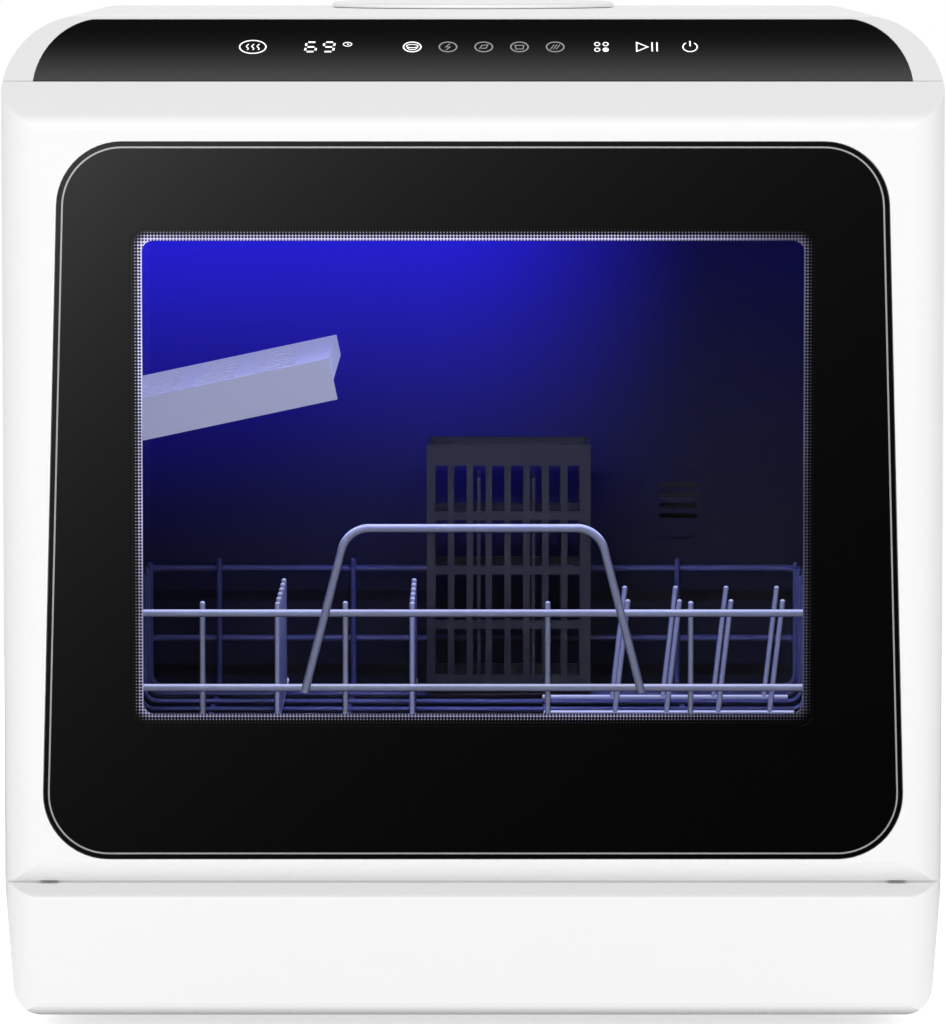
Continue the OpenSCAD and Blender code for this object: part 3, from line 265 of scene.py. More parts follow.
def draw_moulded(sheet: Sheet, given: bpy.types.Node, made: bpy.types.Node) -> None:
    """Moulded plastic: slow changes of tone and gloss, and a fine uneven skin.

    Args:
        sheet: The group's sheet.
        given: The group's inputs.
        made: The group's outputs.
    """
    broad_scale, fine_detail = 9, 4
    spot, _ = sheet.parts("Object")
    broad = sheet.noise(spot, broad_scale)
    fine = sheet.noise(spot, given.outputs["Grain"], fine_detail)
    tone = sheet.sums("MULTIPLY_ADD", broad, given.outputs["Spread"],
                      sheet.sums("MULTIPLY_ADD", given.outputs["Spread"], -0.5, 1))
    shade = sheet.add("ShaderNodeVectorMath", operation="SCALE")
    sheet.plug(given.outputs["Colour"], shade.inputs[0])
    sheet.plug(tone, shade.inputs["Scale"])
    sheet.plug(shade.outputs[0], made.inputs["Colour"])
    rough = sheet.sums("MULTIPLY_ADD", sheet.sums("SUBTRACT", broad, 0.5),
                       given.outputs["Patches"], given.outputs["Roughness"])
    sheet.plug(rough, made.inputs["Roughness"])
    sheet.plug(fine, made.inputs["Height"])


MOULDED = Effect(
    "moulded",
    (("Colour", Socket.COLOUR), ("Roughness", Socket.VALUE), ("Spread", Socket.VALUE),
     ("Patches", Socket.VALUE), ("Grain", Socket.VALUE)),
    SKIN_SOCKETS, draw_moulded)


def draw_brushed(sheet: Sheet, given: bpy.types.Node, made: bpy.types.Node) -> None:
    """Brushed metal: streaks along X that change the tone and the gloss.

    Args:
        sheet: The group's sheet.
        given: The group's inputs.
        made: The group's outputs.
    """
    along, across = 12, 700
    darkest, roughening = 0.78, 0.18
    spot, _ = sheet.parts("Object")
    stretch = sheet.add("ShaderNodeMapping")
    sheet.plug(spot, stretch.inputs["Vector"])
    stretch.inputs["Scale"].default_value = (along, across, across)
    streaks = sheet.noise(stretch.outputs[0], 1, 3)
    dark = sheet.add("ShaderNodeVectorMath", operation="SCALE")
    sheet.plug(given.outputs["Colour"], dark.inputs[0])
    dark.inputs["Scale"].default_value = darkest
    sheet.plug(sheet.mix(streaks, dark.outputs[0], given.outputs["Colour"]), made.inputs["Colour"])
    sheet.plug(sheet.sums("MULTIPLY_ADD", streaks, roughening, given.outputs["Roughness"]),
               made.inputs["Roughness"])
    sheet.plug(streaks, made.inputs["Height"])


BRUSHED = Effect(
    "brushed", (("Colour", Socket.COLOUR), ("Roughness", Socket.VALUE)),
    SKIN_SOCKETS, draw_brushed)


def draw_painted_reflection(sheet: Sheet, given: bpy.types.Node, made: bpy.types.Node) -> None:
    """Painted reflection on the black print: grey at the upper left corner, fading to black at the
    lower right.

    Args:
        sheet: The group's sheet.
        given: The group's inputs.
        made: The group's outputs.
    """
    per_width, from_left = 2.6, 0.5
    per_height, from_top = -3.1, 1.24
    share_across, share_down = 0.52, 0.5
    base, fall = 2.718, -5.2
    _, at = sheet.parts("Object")
    across = sheet.sums("MULTIPLY_ADD", at["X"], per_width, from_left)
    down = sheet.sums("MULTIPLY_ADD", at["Z"], per_height, from_top)
    way = sheet.sums("MULTIPLY_ADD", across, share_across,
                     sheet.sums("MULTIPLY", down, share_down))
    level = sheet.sums("POWER", base, sheet.sums("MULTIPLY", way, fall))
    sheet.plug(sheet.mix(level, given.outputs["Dark"], given.outputs["Pale"]),
               made.inputs["Colour"])


# Painted reflection of a soft light on the black glass print.
PAINTED_REFLECTION = Effect("painted_reflection", DARK_TO_PALE, ONE_COLOUR, draw_painted_reflection)


def draw_sheen(sheet: Sheet, given: bpy.types.Node, made: bpy.types.Node) -> None:
    """Gloss black that turns grey towards its lower edge, as under a soft ceiling light.

    Args:
        sheet: The group's sheet.
        given: The group's inputs.
        made: The group's outputs.
    """
    top_z, bottom_z, bend = 0.4535, 0.4235, 2.2
    _, at = sheet.parts("Object")
    level = sheet.sums("POWER", sheet.ramp(at["Z"], top_z, bottom_z), bend)
    sheet.plug(sheet.mix(level, given.outputs["Dark"], given.outputs["Pale"]),
               made.inputs["Colour"])


SHEEN = Effect("sheen", DARK_TO_PALE, ONE_COLOUR, draw_sheen)


def draw_glow(sheet: Sheet, given: bpy.types.Node, made: bpy.types.Node) -> None:
    """Lamp light on the tub's walls: bright at the upper left, dark low down and to the right.

    Args:
        sheet: The group's sheet.
        given: The group's inputs.
        made: The group's outputs.
    """
    dark_x, lit_x, least_side = 0.12, -0.02, 0.06
    floor_z, lamp_z, bend = 0.12, 0.4, 2.4
    roof_z, brow_z, least_roof = 0.403, 0.38, 0.25
    _, at = sheet.parts("Object")
    side = sheet.sums("MULTIPLY_ADD", sheet.ramp(at["X"], dark_x, lit_x),
                      1 - least_side, least_side)
    high = sheet.sums("POWER", sheet.ramp(at["Z"], floor_z, lamp_z), bend)
    brow = sheet.sums("MULTIPLY_ADD", sheet.ramp(at["Z"], roof_z, brow_z),
                      1 - least_roof, least_roof)
    level = sheet.sums("MULTIPLY", sheet.sums("MULTIPLY", side, high), brow)
    sheet.plug(sheet.mix(level, UNLIT, given.outputs["Colour"]), made.inputs["Colour"])


GLOW = Effect("glow", ONE_COLOUR, ONE_COLOUR, draw_glow)


def draw_dots(sheet: Sheet, given: bpy.types.Node, made: bpy.types.Node) -> None:
    """A border of dots that grow until they close, with lamp light between them.

    Args:
        sheet: The group's sheet.
        given: The group's inputs.
        made: The group's outputs.
    """
    middle_z, cells_off = 0.25, 400
    least_size, growth = 0.1, 0.6
    sharp_in, sharp_out = -0.05, 0.07
    patch_scale, patch_share, patch_least = 14, 1.1, 0.35
    right_from, right_to, right_loss = 0.06, 0.15, 0.82
    low_z, high_z, high_share, low_share = 0.14, 0.36, 0.6, 0.45
    shut, full = 1.15, 0.4
    spot, at = sheet.parts("Object")

    def beyond(axis: str, middle: float, half: str) -> bpy.types.NodeSocket:
        """Gives how far a point is outside the window along one axis."""
        off = sheet.sums("ABSOLUTE", sheet.sums("SUBTRACT", at[axis], middle))
        return sheet.sums("MAXIMUM", sheet.sums("SUBTRACT", off, given.outputs[half]), 0)

    def cell(axis: str) -> bpy.types.NodeSocket:
        """Gives where a point is between the edges of its dot's cell, from -0.5 to 0.5."""
        steps = sheet.sums("DIVIDE", at[axis], given.outputs["Pitch"])
        return sheet.sums("SUBTRACT", sheet.sums("FRACT", sheet.sums("ADD", steps, cells_off)),
                          0.5)

    def length(one: object, two: object) -> bpy.types.NodeSocket:
        """Gives the length of a line from its two parts."""
        return sheet.sums("SQRT", sheet.sums("ADD", sheet.sums("MULTIPLY", one, one),
                                             sheet.sums("MULTIPLY", two, two)))

    out = length(beyond("X", 0, "Half X"), beyond("Z", middle_z, "Half Z"))
    share = sheet.sums("DIVIDE", out, given.outputs["Width"])
    size = sheet.sums("MULTIPLY_ADD", share, growth, least_size)
    gap = sheet.ramp(sheet.sums("SUBTRACT", length(cell("X"), cell("Z")), size),
                     sharp_in, sharp_out)
    lit = sheet.sums("MULTIPLY", gap, sheet.ramp(share, shut, full))
    patches = sheet.sums("MULTIPLY_ADD", sheet.noise(spot, patch_scale, 1), patch_share,
                         patch_least)
    right = sheet.sums("MULTIPLY_ADD", sheet.ramp(at["X"], right_from, right_to),
                       -right_loss, 1)
    high = sheet.sums("MULTIPLY_ADD", sheet.ramp(at["Z"], low_z, high_z), high_share, low_share)
    patches = sheet.sums("MULTIPLY", sheet.sums("MULTIPLY", patches, right), high)
    lit = sheet.sums("MULTIPLY", lit, patches, clamp=True)
    sheet.plug(sheet.mix(lit, UNLIT, given.outputs["Light"]), made.inputs["Colour"])


DOTS = Effect(
    "dots",
    (("Half X", Socket.VALUE), ("Half Z", Socket.VALUE), ("Width", Socket.VALUE),
     ("Pitch", Socket.VALUE), ("Light", Socket.COLOUR)),
    ONE_COLOUR, draw_dots)


def draw_painted_shell_shade(sheet: Sheet, given: bpy.types.Node, made: bpy.types.Node) -> None:
    """White covers with painted shade: a little darker where they slope up to the front or turn in
    underneath.

    Args:
        sheet: The group's sheet.
        given: The group's inputs.
        made: The group's outputs.
    """
    steep, level_z = 0.25, 0.7
    sideways, ahead_y = -0.2, -0.55
    turning, turned = -0.25, -0.9
    low_from, low_to = 0.04, 0.02
    shaded = solid(grey(0.6))
    _, facing = sheet.parts("Normal")
    _, at = sheet.parts("Object")
    # Painted shade on faces sloping up and forward, and on faces turned in underneath near the
    # table.
    slope = sheet.sums("MULTIPLY", sheet.ramp(facing["Z"], steep, level_z),
                       sheet.ramp(facing["Y"], sideways, ahead_y))
    under = sheet.sums("MULTIPLY", sheet.ramp(facing["Z"], turning, turned),
                       sheet.ramp(at["Z"], low_from, low_to))
    upper = sheet.mix(slope, given.outputs["Pale"], given.outputs["Dark"])
    sheet.plug(sheet.mix(under, upper, shaded), made.inputs["Colour"])


PAINTED_SHELL_SHADE = Effect("shell", DARK_TO_PALE, ONE_COLOUR, draw_painted_shell_shade)


def draw_seam(sheet: Sheet, given: bpy.types.Node, made: bpy.types.Node) -> None:
    """Light that the white faces throw into the seam under the door.

    Args:
        sheet: The group's sheet.
        given: The group's inputs.
        made: The group's outputs.
    """
    leaning, flat = 0.8, 0.97
    seam_z, reach, full = 0.0675, 0.004, 0.0025
    _, facing = sheet.parts("Normal")
    _, at = sheet.parts("Object")
    level_face = sheet.ramp(sheet.sums("ABSOLUTE", facing["Z"]), leaning, flat)
    off = sheet.sums("ABSOLUTE", sheet.sums("SUBTRACT", at["Z"], seam_z))
    level = sheet.sums("MULTIPLY", level_face, sheet.ramp(off, reach, full))
    sheet.plug(sheet.mix(level, UNLIT, given.outputs["Colour"]), made.inputs["Colour"])


SEAM = Effect("seam", ONE_COLOUR, ONE_COLOUR, draw_seam)


def draw_rod(sheet: Sheet, given: bpy.types.Node, made: bpy.types.Node) -> None:
    """Lamp light on a thin rod: a bright line on top, dim in front and none at its sides.

    Args:
        sheet: The group's sheet.
        given: The group's inputs.
        made: The group's outputs.
    """
    side_z, top_z = 0.05, 0.75
    side_y, front_y = -0.3, -1
    bend, front_share = 1.5, 0.26
    _, facing = sheet.parts("Normal")
    top = sheet.sums("POWER", sheet.ramp(facing["Z"], side_z, top_z), bend)
    front = sheet.sums("POWER", sheet.ramp(facing["Y"], side_y, front_y), bend)
    level = sheet.sums("MAXIMUM", top, sheet.sums("MULTIPLY", front, front_share))
    sheet.plug(sheet.mix(level, UNLIT, given.outputs["Colour"]), made.inputs["Colour"])


ROD = Effect("rod", ONE_COLOUR, ONE_COLOUR, draw_rod)


# ---- Finishes ----


BUMP_STRENGTH = 0.3


class Skin(Enum):
    """What a finish's surface is made like."""

    MOULDED = "moulded"
    BRUSHED = "brushed"


@dataclass(frozen=True)
class Finish:
    """A material's look, with the numbers of its skin."""

    name: str
    colour: Colour
    roughness: float
    skin: Skin = Skin.MOULDED
    metallic: float = 0
    specular: float = 0.5
    transmission: float = 0
    ior: float = 1.5
    spread: float = 0.03
    patches: float = 0.06
    grain: float = 900
    depth: float = 0.01
    # glow lights lamps and lit marks, and also paints lamp light onto parts that are no lamp.
    glow: Colour | None = None
    glow_strength: float = 1
    glow_mask: Effect | None = None
    # pale and blend paint light or shade into the base colour: painted shade, sheen or reflection.
    pale: Colour | None = None
    blend: Effect = PAINTED_REFLECTION

    def material(self) -> bpy.types.Material:
        """Gives the finish's material, which is made once.

        Returns:
            The material.
        """
        found = bpy.data.materials.get(self.name)
        if found:
            return found
        made = bpy.data.materials.new(self.name)
        made.use_nodes = True
        sheet = Sheet(made.node_tree)
        shader = made.node_tree.nodes["Principled BSDF"]
        colour = solid(self.colour)
        for socket, value in (("Metallic", self.metallic), ("IOR", self.ior),
                              ("Specular IOR Level", self.specular),
                              ("Transmission Weight", self.transmission)):
            shader.inputs[socket].default_value = value
        if self.skin is Skin.BRUSHED:
            skin = BRUSHED.use(sheet, Colour=colour, Roughness=self.roughness)
        else:
            skin = MOULDED.use(sheet, Colour=colour, Roughness=self.roughness,
                               Spread=self.spread, Patches=self.patches, Grain=self.grain)
        if self.pale:
            blend = self.blend.use(sheet, Dark=colour, Pale=solid(self.pale))
            sheet.plug(blend.outputs["Colour"], shader.inputs["Base Color"])
        else:
            sheet.plug(skin.outputs["Colour"], shader.inputs["Base Color"])
        sheet.plug(skin.outputs["Roughness"], shader.inputs["Roughness"])
        if self.depth:
            bump = sheet.add("ShaderNodeBump")
            bump.inputs["Strength"].default_value = BUMP_STRENGTH
            bump.inputs["Distance"].default_value = self.depth * MM
            sheet.plug(skin.outputs["Height"], bump.inputs["Height"])
            sheet.plug(bump.outputs["Normal"], shader.inputs["Normal"])
        if self.glow:
            shader.inputs["Emission Strength"].default_value = self.glow_strength
            if self.glow_mask:
                light = self.glow_mask.use(sheet, Colour=solid(self.glow))
                sheet.plug(light.outputs["Colour"], shader.inputs["Emission Color"])
            else:
                shader.inputs["Emission Color"].default_value = solid(self.glow)
        return made

    def dress(self, thing: bpy.types.Object) -> None:
        """Gives an object this finish in every slot.

        Args:
            thing: The object.
        """
        if not thing.material_slots:
            thing.data.materials.append(self.material())
        for slot in thing.material_slots:
            slot.material = self.material()


LAMP_BLUE = from_srgb(34, 26, 212)
DOT_LIGHT = from_srgb(212, 208, 255)

# White covers: the pale colour turns to painted shade on slopes and undersides, and the glow is
# painted light in the seam under the door.
WHITE = Finish("white_shell_finish", grey(0.7), 0.3, specular=0.15, depth=0.006,
               pale=grey(0.86), blend=PAINTED_SHELL_SHADE, glow=grey(0.1), glow_mask=SEAM)
# Gloss black control panel; its grey lower edge is painted sheen.
BLACK = Finish("black_gloss_finish", grey(0.003), 0.1, specular=0.15, patches=0.02,
               depth=0, pale=grey(0.06), blend=SHEEN)
# Black glass print; its pale colour is a painted reflection, grey towards the upper left.
PRINT = Finish("glass_print_finish", grey(0.0012), 0.05, specular=0.08, patches=0,
               depth=0, pale=grey(0.046))
CLEAR = Finish("clear_glass_finish", grey(1), 0.0, transmission=1, ior=1.16, spread=0,
               patches=0, depth=0)
SILVER = Finish("pinstripe_finish", grey(0.6), 0.35, metallic=0.6)
STEEL = Finish("steel_finish", (0.58, 0.58, 0.6), 0.24, Skin.BRUSHED, metallic=1, depth=0.01)
# Coated wire; its glow is painted lamp light, brightest along the top of each rod.
WIRE = Finish("coated_wire_finish", from_srgb(84, 88, 112), 0.3, spread=0.15, grain=1400,
              depth=0.03, glow=from_srgb(185, 192, 232), glow_strength=0.9, glow_mask=ROD)
# The same coated wire for the far parts of the rack, painted darker and without the painted lamp
# light: a shaded copy.
SHADED_FAR_WIRE = Finish("shaded_far_wire_finish", from_srgb(70, 72, 104), 0.35, spread=0.15, grain=1400,
                  depth=0.03)
# Tub: near-black as painted shade for the unlit inside, with a blue glow that is painted lamp
# light, bright at the upper left.
TUB = Finish("tub_finish", (0.012, 0.012, 0.02), 0.5, specular=0.15, glow=LAMP_BLUE,
             glow_strength=1.25, glow_mask=GLOW)
# Cup shelf; its glow is painted lamp light on the shelf.
SHELF = Finish("shelf_finish", (0.05, 0.05, 0.05), 0.4, glow=from_srgb(152, 156, 192),
               glow_strength=0.85)
GREY = Finish("grey_plastic_finish", (0.11, 0.115, 0.13), 0.45)
DARK = Finish("black_plastic_finish", (0.02, 0.02, 0.021), 0.5, grain=1600, depth=0.03)
PALE = Finish("pale_plastic_finish", (0.66, 0.67, 0.68), 0.42)
RUBBER = Finish("rubber_finish", (0.2, 0.2, 0.205), 0.6, grain=2000, depth=0.04)
FOOT = Finish("foot_finish", (0.52, 0.53, 0.54), 0.3, transmission=0.25)
CIRCUIT = Finish("circuit_finish", (0.012, 0.12, 0.05), 0.35, spread=0.25, grain=600)
LAMP = Finish("lamp_finish", (0.25, 0.35, 1), 0.2, glow=(0.25, 0.35, 1), glow_strength=4)
BRIGHT_MARK = Finish("bright_mark_finish", grey(0.8), 0.4, glow=grey(0.8), glow_strength=0.75)
DIM_MARK = Finish("dim_mark_finish", grey(0.2), 0.4, glow=grey(0.2), glow_strength=0.6)

NODE_FINISHES: dict[Finish, tuple[str, ...]] = {
    WHITE: ("lower_front_panel", "side_cover_left", "side_cover_right", "top_cover",
            "rear_panel", "fill_lid", "door_frame", "front_frame", "inlet_valve"),
    BLACK: ("control_panel",),
    CLEAR: ("inner_pane",),
    STEEL: ("cover_screws", "hinge_bracket_left", "hinge_bracket_right", "hinge_pins",
            "door_catch", "lid_pin", "heater", "filter_plate", "door_liner"),
    WIRE: ("rack_front", "rack_tines"),
    SHADED_FAR_WIRE: ("rack_back", "rack_sides", "rack_floor"),
    TUB: ("tub", "air_grille"),
    SHELF: ("cup_shelf",),
    GREY: ("sump", "spray_hub", "spray_arm", "upper_nozzle", "rack_guides", "shelf_brackets",
           "filter_cup", "fan_housing"),
    DARK: ("cutlery_basket", "window_spacer", "latch_body", "wash_pump", "drain_pump",
           "power_gland", "drain_spigot", "display_module"),
    PALE: ("water_tank", "fill_funnel", "base_pan", "wash_impeller", "drain_impeller",
           "fan_wheel", "latch_hook"),
    RUBBER: ("door_seal",),
    FOOT: ("feet",),
    CIRCUIT: ("control_board", "power_board"),
    LAMP: ("interior_lamp",),
}


# ---- Flat outlines and the pieces made from them ----


def rounded(corners: Sequence[Point], radius: float, steps: int = 12) -> list[Point]:
    """Rounds the corners of a convex outline.

    Args:
        corners: The corners in order, anticlockwise.
        radius: The corners' radius.
        steps: How many points each corner gets.

    Returns:
        The outline's points.
    """
    points: list[Point] = []
    for i, corner in enumerate(corners):
        here = Vector(corner)
        back = (Vector(corners[i - 1]) - here).normalized()
        ahead = (Vector(corners[(i + 1) % len(corners)]) - here).normalized()
        half = back.angle(ahead) / 2
        middle = here + (back + ahead).normalized() * radius / math.sin(half)
        first = here + back * radius / math.tan(half) - middle
        turn = math.pi - 2 * half
        for k in range(steps + 1):
            a = turn * k / steps
            points.append((middle.x + first.x * math.cos(a) - first.y * math.sin(a),
                           middle.y + first.x * math.sin(a) + first.y * math.cos(a)))
    return points


def box_corners(half_w: float, low: float, high: float) -> list[Point]:
    """Gives the corners of a box that stands on the middle line.

    Args:
        half_w: Half its width.
        low: Its lower edge.
        high: Its upper edge.

    Returns:
        The four corners, anticlockwise.
    """
    return [(-half_w, low), (half_w, low), (half_w, high), (-half_w, high)]


def oval(middle: Point, half_w: float, half_h: float, steps: int = 32) -> list[Point]:
    """Gives the points of an oval.

    Args:
        middle: Its centre.
        half_w: Half its width.
        half_h: Half its height.
        steps: How many points it gets.

    Returns:
        The points, anticlockwise.
    """
    return [(middle[0] + half_w * math.cos(math.tau * k / steps),
             middle[1] + half_h * math.sin(math.tau * k / steps)) for k in range(steps)]


def on_front(across: float, up: float, out: float) -> Vector:
    """Places a point of a flat drawing on the door's front face.

    Args:
        across: Millimetres to the right of the middle.
        up: Millimetres above the table.
        out: Millimetres in front of the body's front.

    Returns:
        The point in metres.
    """
    return Vector((across, FRONT_Y - out, up)) * MM


class Plate:
    """A flat piece with rounded edges, cut from an outline with holes."""

    def __init__(self, name: str, outline: Sequence[Point], holes: Iterable[Sequence[Point]],
                 back: float, front: float, edge: float) -> None:
        """Cuts the piece and stands it in the door.

        Args:
            name: The piece's name.
            outline: Its outer edge, in millimetres.
            holes: The edges of its holes.
            back: Where its back face lies, as y in millimetres.
            front: Where its front face lies.
            edge: The radius of its rounded edges.
        """
        curve = bpy.data.curves.new(name + "_curve", "CURVE")
        curve.dimensions = "2D"
        curve.fill_mode = "BOTH"
        curve.extrude = ((back - front) / 2 - edge) * MM
        curve.bevel_depth = edge * MM
        curve.bevel_resolution = 2
        curve.offset = -edge * MM
        for loop in (outline, *holes):
            spline = curve.splines.new("POLY")
            spline.points.add(len(loop) - 1)
            for spot, (x, z) in zip(spline.points, loop):
                spot.co = (x * MM, z * MM, 0, 1)
            spline.use_cyclic_u = True
        drawn = bpy.data.objects.new(name + "_curve", curve)
        bpy.context.scene.collection.objects.link(drawn)
        depsgraph = bpy.context.evaluated_depsgraph_get()
        mesh = bpy.data.meshes.new_from_object(drawn.evaluated_get(depsgraph))
        bpy.data.objects.remove(drawn)
        middle = (back + front) / 2
        for vertex in mesh.vertices:
            x, z, depth = vertex.co
            vertex.co = (x, middle * MM - depth, z)
        self.thing = bpy.data.objects.new(name, mesh)
        bpy.context.scene.collection.objects.link(self.thing)


class Marks:
    """Printed strokes, each a thin raised ribbon on a flat face."""

    SHARPEST = 0.35

    def __init__(self, name: str, place: Placer, rise: float) -> None:
        """Starts an empty set of strokes.

        Args:
            name: The piece's name.
            place: What puts a drawing's point on the object.
            rise: How far the ink stands out.
        """
        self.name = name
        self.place = place
        self.rise = rise
        self.ink = bmesh.new()

    def stroke(self, points: Sequence[Point], width: float, closed: bool = False) -> None:
        """Draws a line of even width.

        Args:
            points: The line's points, in millimetres.
            width: The line's width.
            closed: Whether it ends where it starts.
        """
        count = len(points)
        rings = []
        for i in range(count):
            here = Vector(points[i])
            before = Vector(points[i - 1]) if i or closed else here
            after = Vector(points[(i + 1) % count]) if i < count - 1 or closed else here
            first = (here - before).normalized() if before != here else None
            second = (after - here).normalized() if after != here else None
            along = ((first or second) + (second or first)).normalized()
            side = Vector((-along.y, along.x))
            lean = (first or second).dot(along)
            side *= width / 2 / max(lean, self.SHARPEST)
            ring = [self.ink.verts.new(self.place(*(here + side * s), out))
                    for s, out in ((1, 0), (1, self.rise), (-1, self.rise), (-1, 0))]
            rings.append(ring)
        pairs = list(zip(rings, rings[1:])) + ([(rings[-1], rings[0])] if closed else [])
        for one, two in pairs:
            for k in range(4):
                self.ink.faces.new((one[k], one[(k + 1) % 4], two[(k + 1) % 4], two[k]))
        if not closed:
            self.ink.faces.new(rings[0][::-1])
            self.ink.faces.new(rings[-1])

    def blob(self, points: Sequence[Point]) -> None:
        """Fills a convex outline.

        Args:
            points: The outline's points, anticlockwise.
        """
        low = [self.ink.verts.new(self.place(x, z, 0)) for x, z in points]
        high = [self.ink.verts.new(self.place(x, z, self.rise)) for x, z in points]
        self.ink.faces.new(low[::-1])
        self.ink.faces.new(high)
        for k in range(len(points)):
            n = (k + 1) % len(points)
            self.ink.faces.new((low[k], low[n], high[n], high[k]))

    def thing(self) -> bpy.types.Object:
        """Turns the strokes into an object.

        Returns:
            The object.
        """
        bmesh.ops.recalc_face_normals(self.ink, faces=self.ink.faces)
        mesh = bpy.data.meshes.new(self.name)
        self.ink.to_mesh(mesh)
        self.ink.free()
        made = bpy.data.objects.new(self.name, mesh)
        bpy.context.scene.collection.objects.link(made)
        return made


@dataclass(frozen=True)
class DoorGlassSizes:
    """The printed door glass, in millimetres."""

    low: float = 79
    high: float = 399
    low_half: float = 192.5
    high_half: float = 184
    corner: float = 29
    front: float = -217.44
    back: float = -214.3
    print_in: float = 0.1
    print_edge: float = 0.25
    pane_in: float = 0.1
    pane_edge: float = 0.05
    dots_in: float = 0.02
    window_half: float = 147
    window_low: float = 144
    window_high: float = 355.2
    window_r: float = 5
    border: float = 5.4
    dot_pitch: float = 1.43
    dots_start: float = 3
    dots_strength: float = 1.1
    line_in: float = 2.4
    line_w: float = 0.75
    line_sunk: float = 0.05
    line_ink: float = 0.04


class DoorGlass:
    """The door's front glass: black print, clear window, dotted border and silver line."""

    def __init__(self, sizes: DoorGlassSizes) -> None:
        """Keeps the sizes.

        Args:
            sizes: The glass's sizes.
        """
        self.sizes = sizes

    def outline(self, inset: float) -> list[Point]:
        """Gives the glass's edge.

        Args:
            inset: How far inside the edge the outline runs.

        Returns:
            The outline's points.
        """
        s = self.sizes
        corners = [(-s.low_half + inset, s.low + inset), (s.low_half - inset, s.low + inset),
                   (s.high_half - inset, s.high - inset), (-s.high_half + inset, s.high - inset)]
        return rounded(corners, s.corner - inset, 16)

    def window(self, grow: float) -> list[Point]:
        """Gives the window's edge.

        Args:
            grow: How far outside the edge the outline runs.

        Returns:
            The outline's points.
        """
        s = self.sizes
        return rounded(box_corners(s.window_half + grow, s.window_low - grow,
                                   s.window_high + grow), s.window_r + grow * 0.5)

    def dots_material(self) -> bpy.types.Material:
        """Makes the dotted border's material.

        Returns:
            The material.
        """
        s = self.sizes
        made = bpy.data.materials.new("dot_border_finish")
        made.use_nodes = True
        sheet = Sheet(made.node_tree)
        shader = made.node_tree.nodes["Principled BSDF"]
        # The base colour carries the painted reflection of the print; the glow between the dots is
        # painted lamp light.
        painted_reflection = PAINTED_REFLECTION.use(sheet, Dark=solid(PRINT.colour), Pale=solid(PRINT.pale))
        sheet.plug(painted_reflection.outputs["Colour"], shader.inputs["Base Color"])
        shader.inputs["Roughness"].default_value = PRINT.roughness
        shader.inputs["Specular IOR Level"].default_value = PRINT.specular
        shader.inputs["Emission Strength"].default_value = s.dots_strength
        dots = DOTS.use(sheet, **{
            "Half X": (s.window_half - s.dots_start) * MM,
            "Half Z": ((s.window_high - s.window_low) / 2 - s.dots_start) * MM,
            "Width": (s.border + s.dots_start) * MM, "Pitch": s.dot_pitch * MM,
            "Light": solid(DOT_LIGHT)})
        sheet.plug(dots.outputs["Colour"], shader.inputs["Emission Color"])
        return made

    def build(self) -> list[bpy.types.Object]:
        """Makes the glass's pieces and hangs them on the door.

        Returns:
            The pieces.
        """
        s = self.sizes
        plate = Plate("door_print", self.outline(s.print_in), [self.window(s.border)],
                      s.back, s.front, s.print_edge).thing
        PRINT.dress(plate)
        pane = Plate("door_window", self.window(0), [], s.back, s.front + s.pane_in,
                     s.pane_edge).thing
        CLEAR.dress(pane)
        border = Plate("door_dots", self.window(s.border - s.dots_in),
                       [self.window(s.dots_in)], s.back, s.front + s.dots_in, s.dots_in).thing
        border.data.materials.append(self.dots_material())
        line = Marks("door_pinstripe",
                     lambda x, z, out: on_front(x, z, out - s.line_sunk), s.line_ink)
        line.stroke(self.outline(s.line_in), s.line_w, closed=True)
        stripe = line.thing()
        SILVER.dress(stripe)
        pieces = [plate, pane, border, stripe]
        for piece in pieces:
            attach(piece, "door")
            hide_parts("door_glass")
        return pieces


@dataclass(frozen=True)
class PanelSizes:
    """Where the marks of the control panel stand, in millimetres."""

    foot_z: float = 409.5
    slope: float = math.radians(40)
    row: float = 48
    ink: float = 0.03
    line: float = 0.62
    fine: float = 0.45
    bold: float = 0.6
    dry_x: float = -98.6
    digit_lefts: Point = (-75.2, -67.2)
    digit_low: float = 44.8
    digit_w: float = 4.6
    digit_h: float = 6.4
    digit_lean: float = 0.7
    digit_gap: float = 0.75
    digit_line: float = 0.95
    clock_x: float = -56.2
    clock_up: float = 49.8
    first_programme: float = -27.2
    programme_pitch: float = 16
    mode_xs: Point = (55.6, 59.4)
    mode_off: float = 1.9
    mode_r: float = 1.15
    start_x: float = 73.3
    start_w: float = 5
    start_h: float = 3
    pause_xs: Point = (80.2, 82.4)
    power_x: float = 97.2
    power_r: float = 3.2


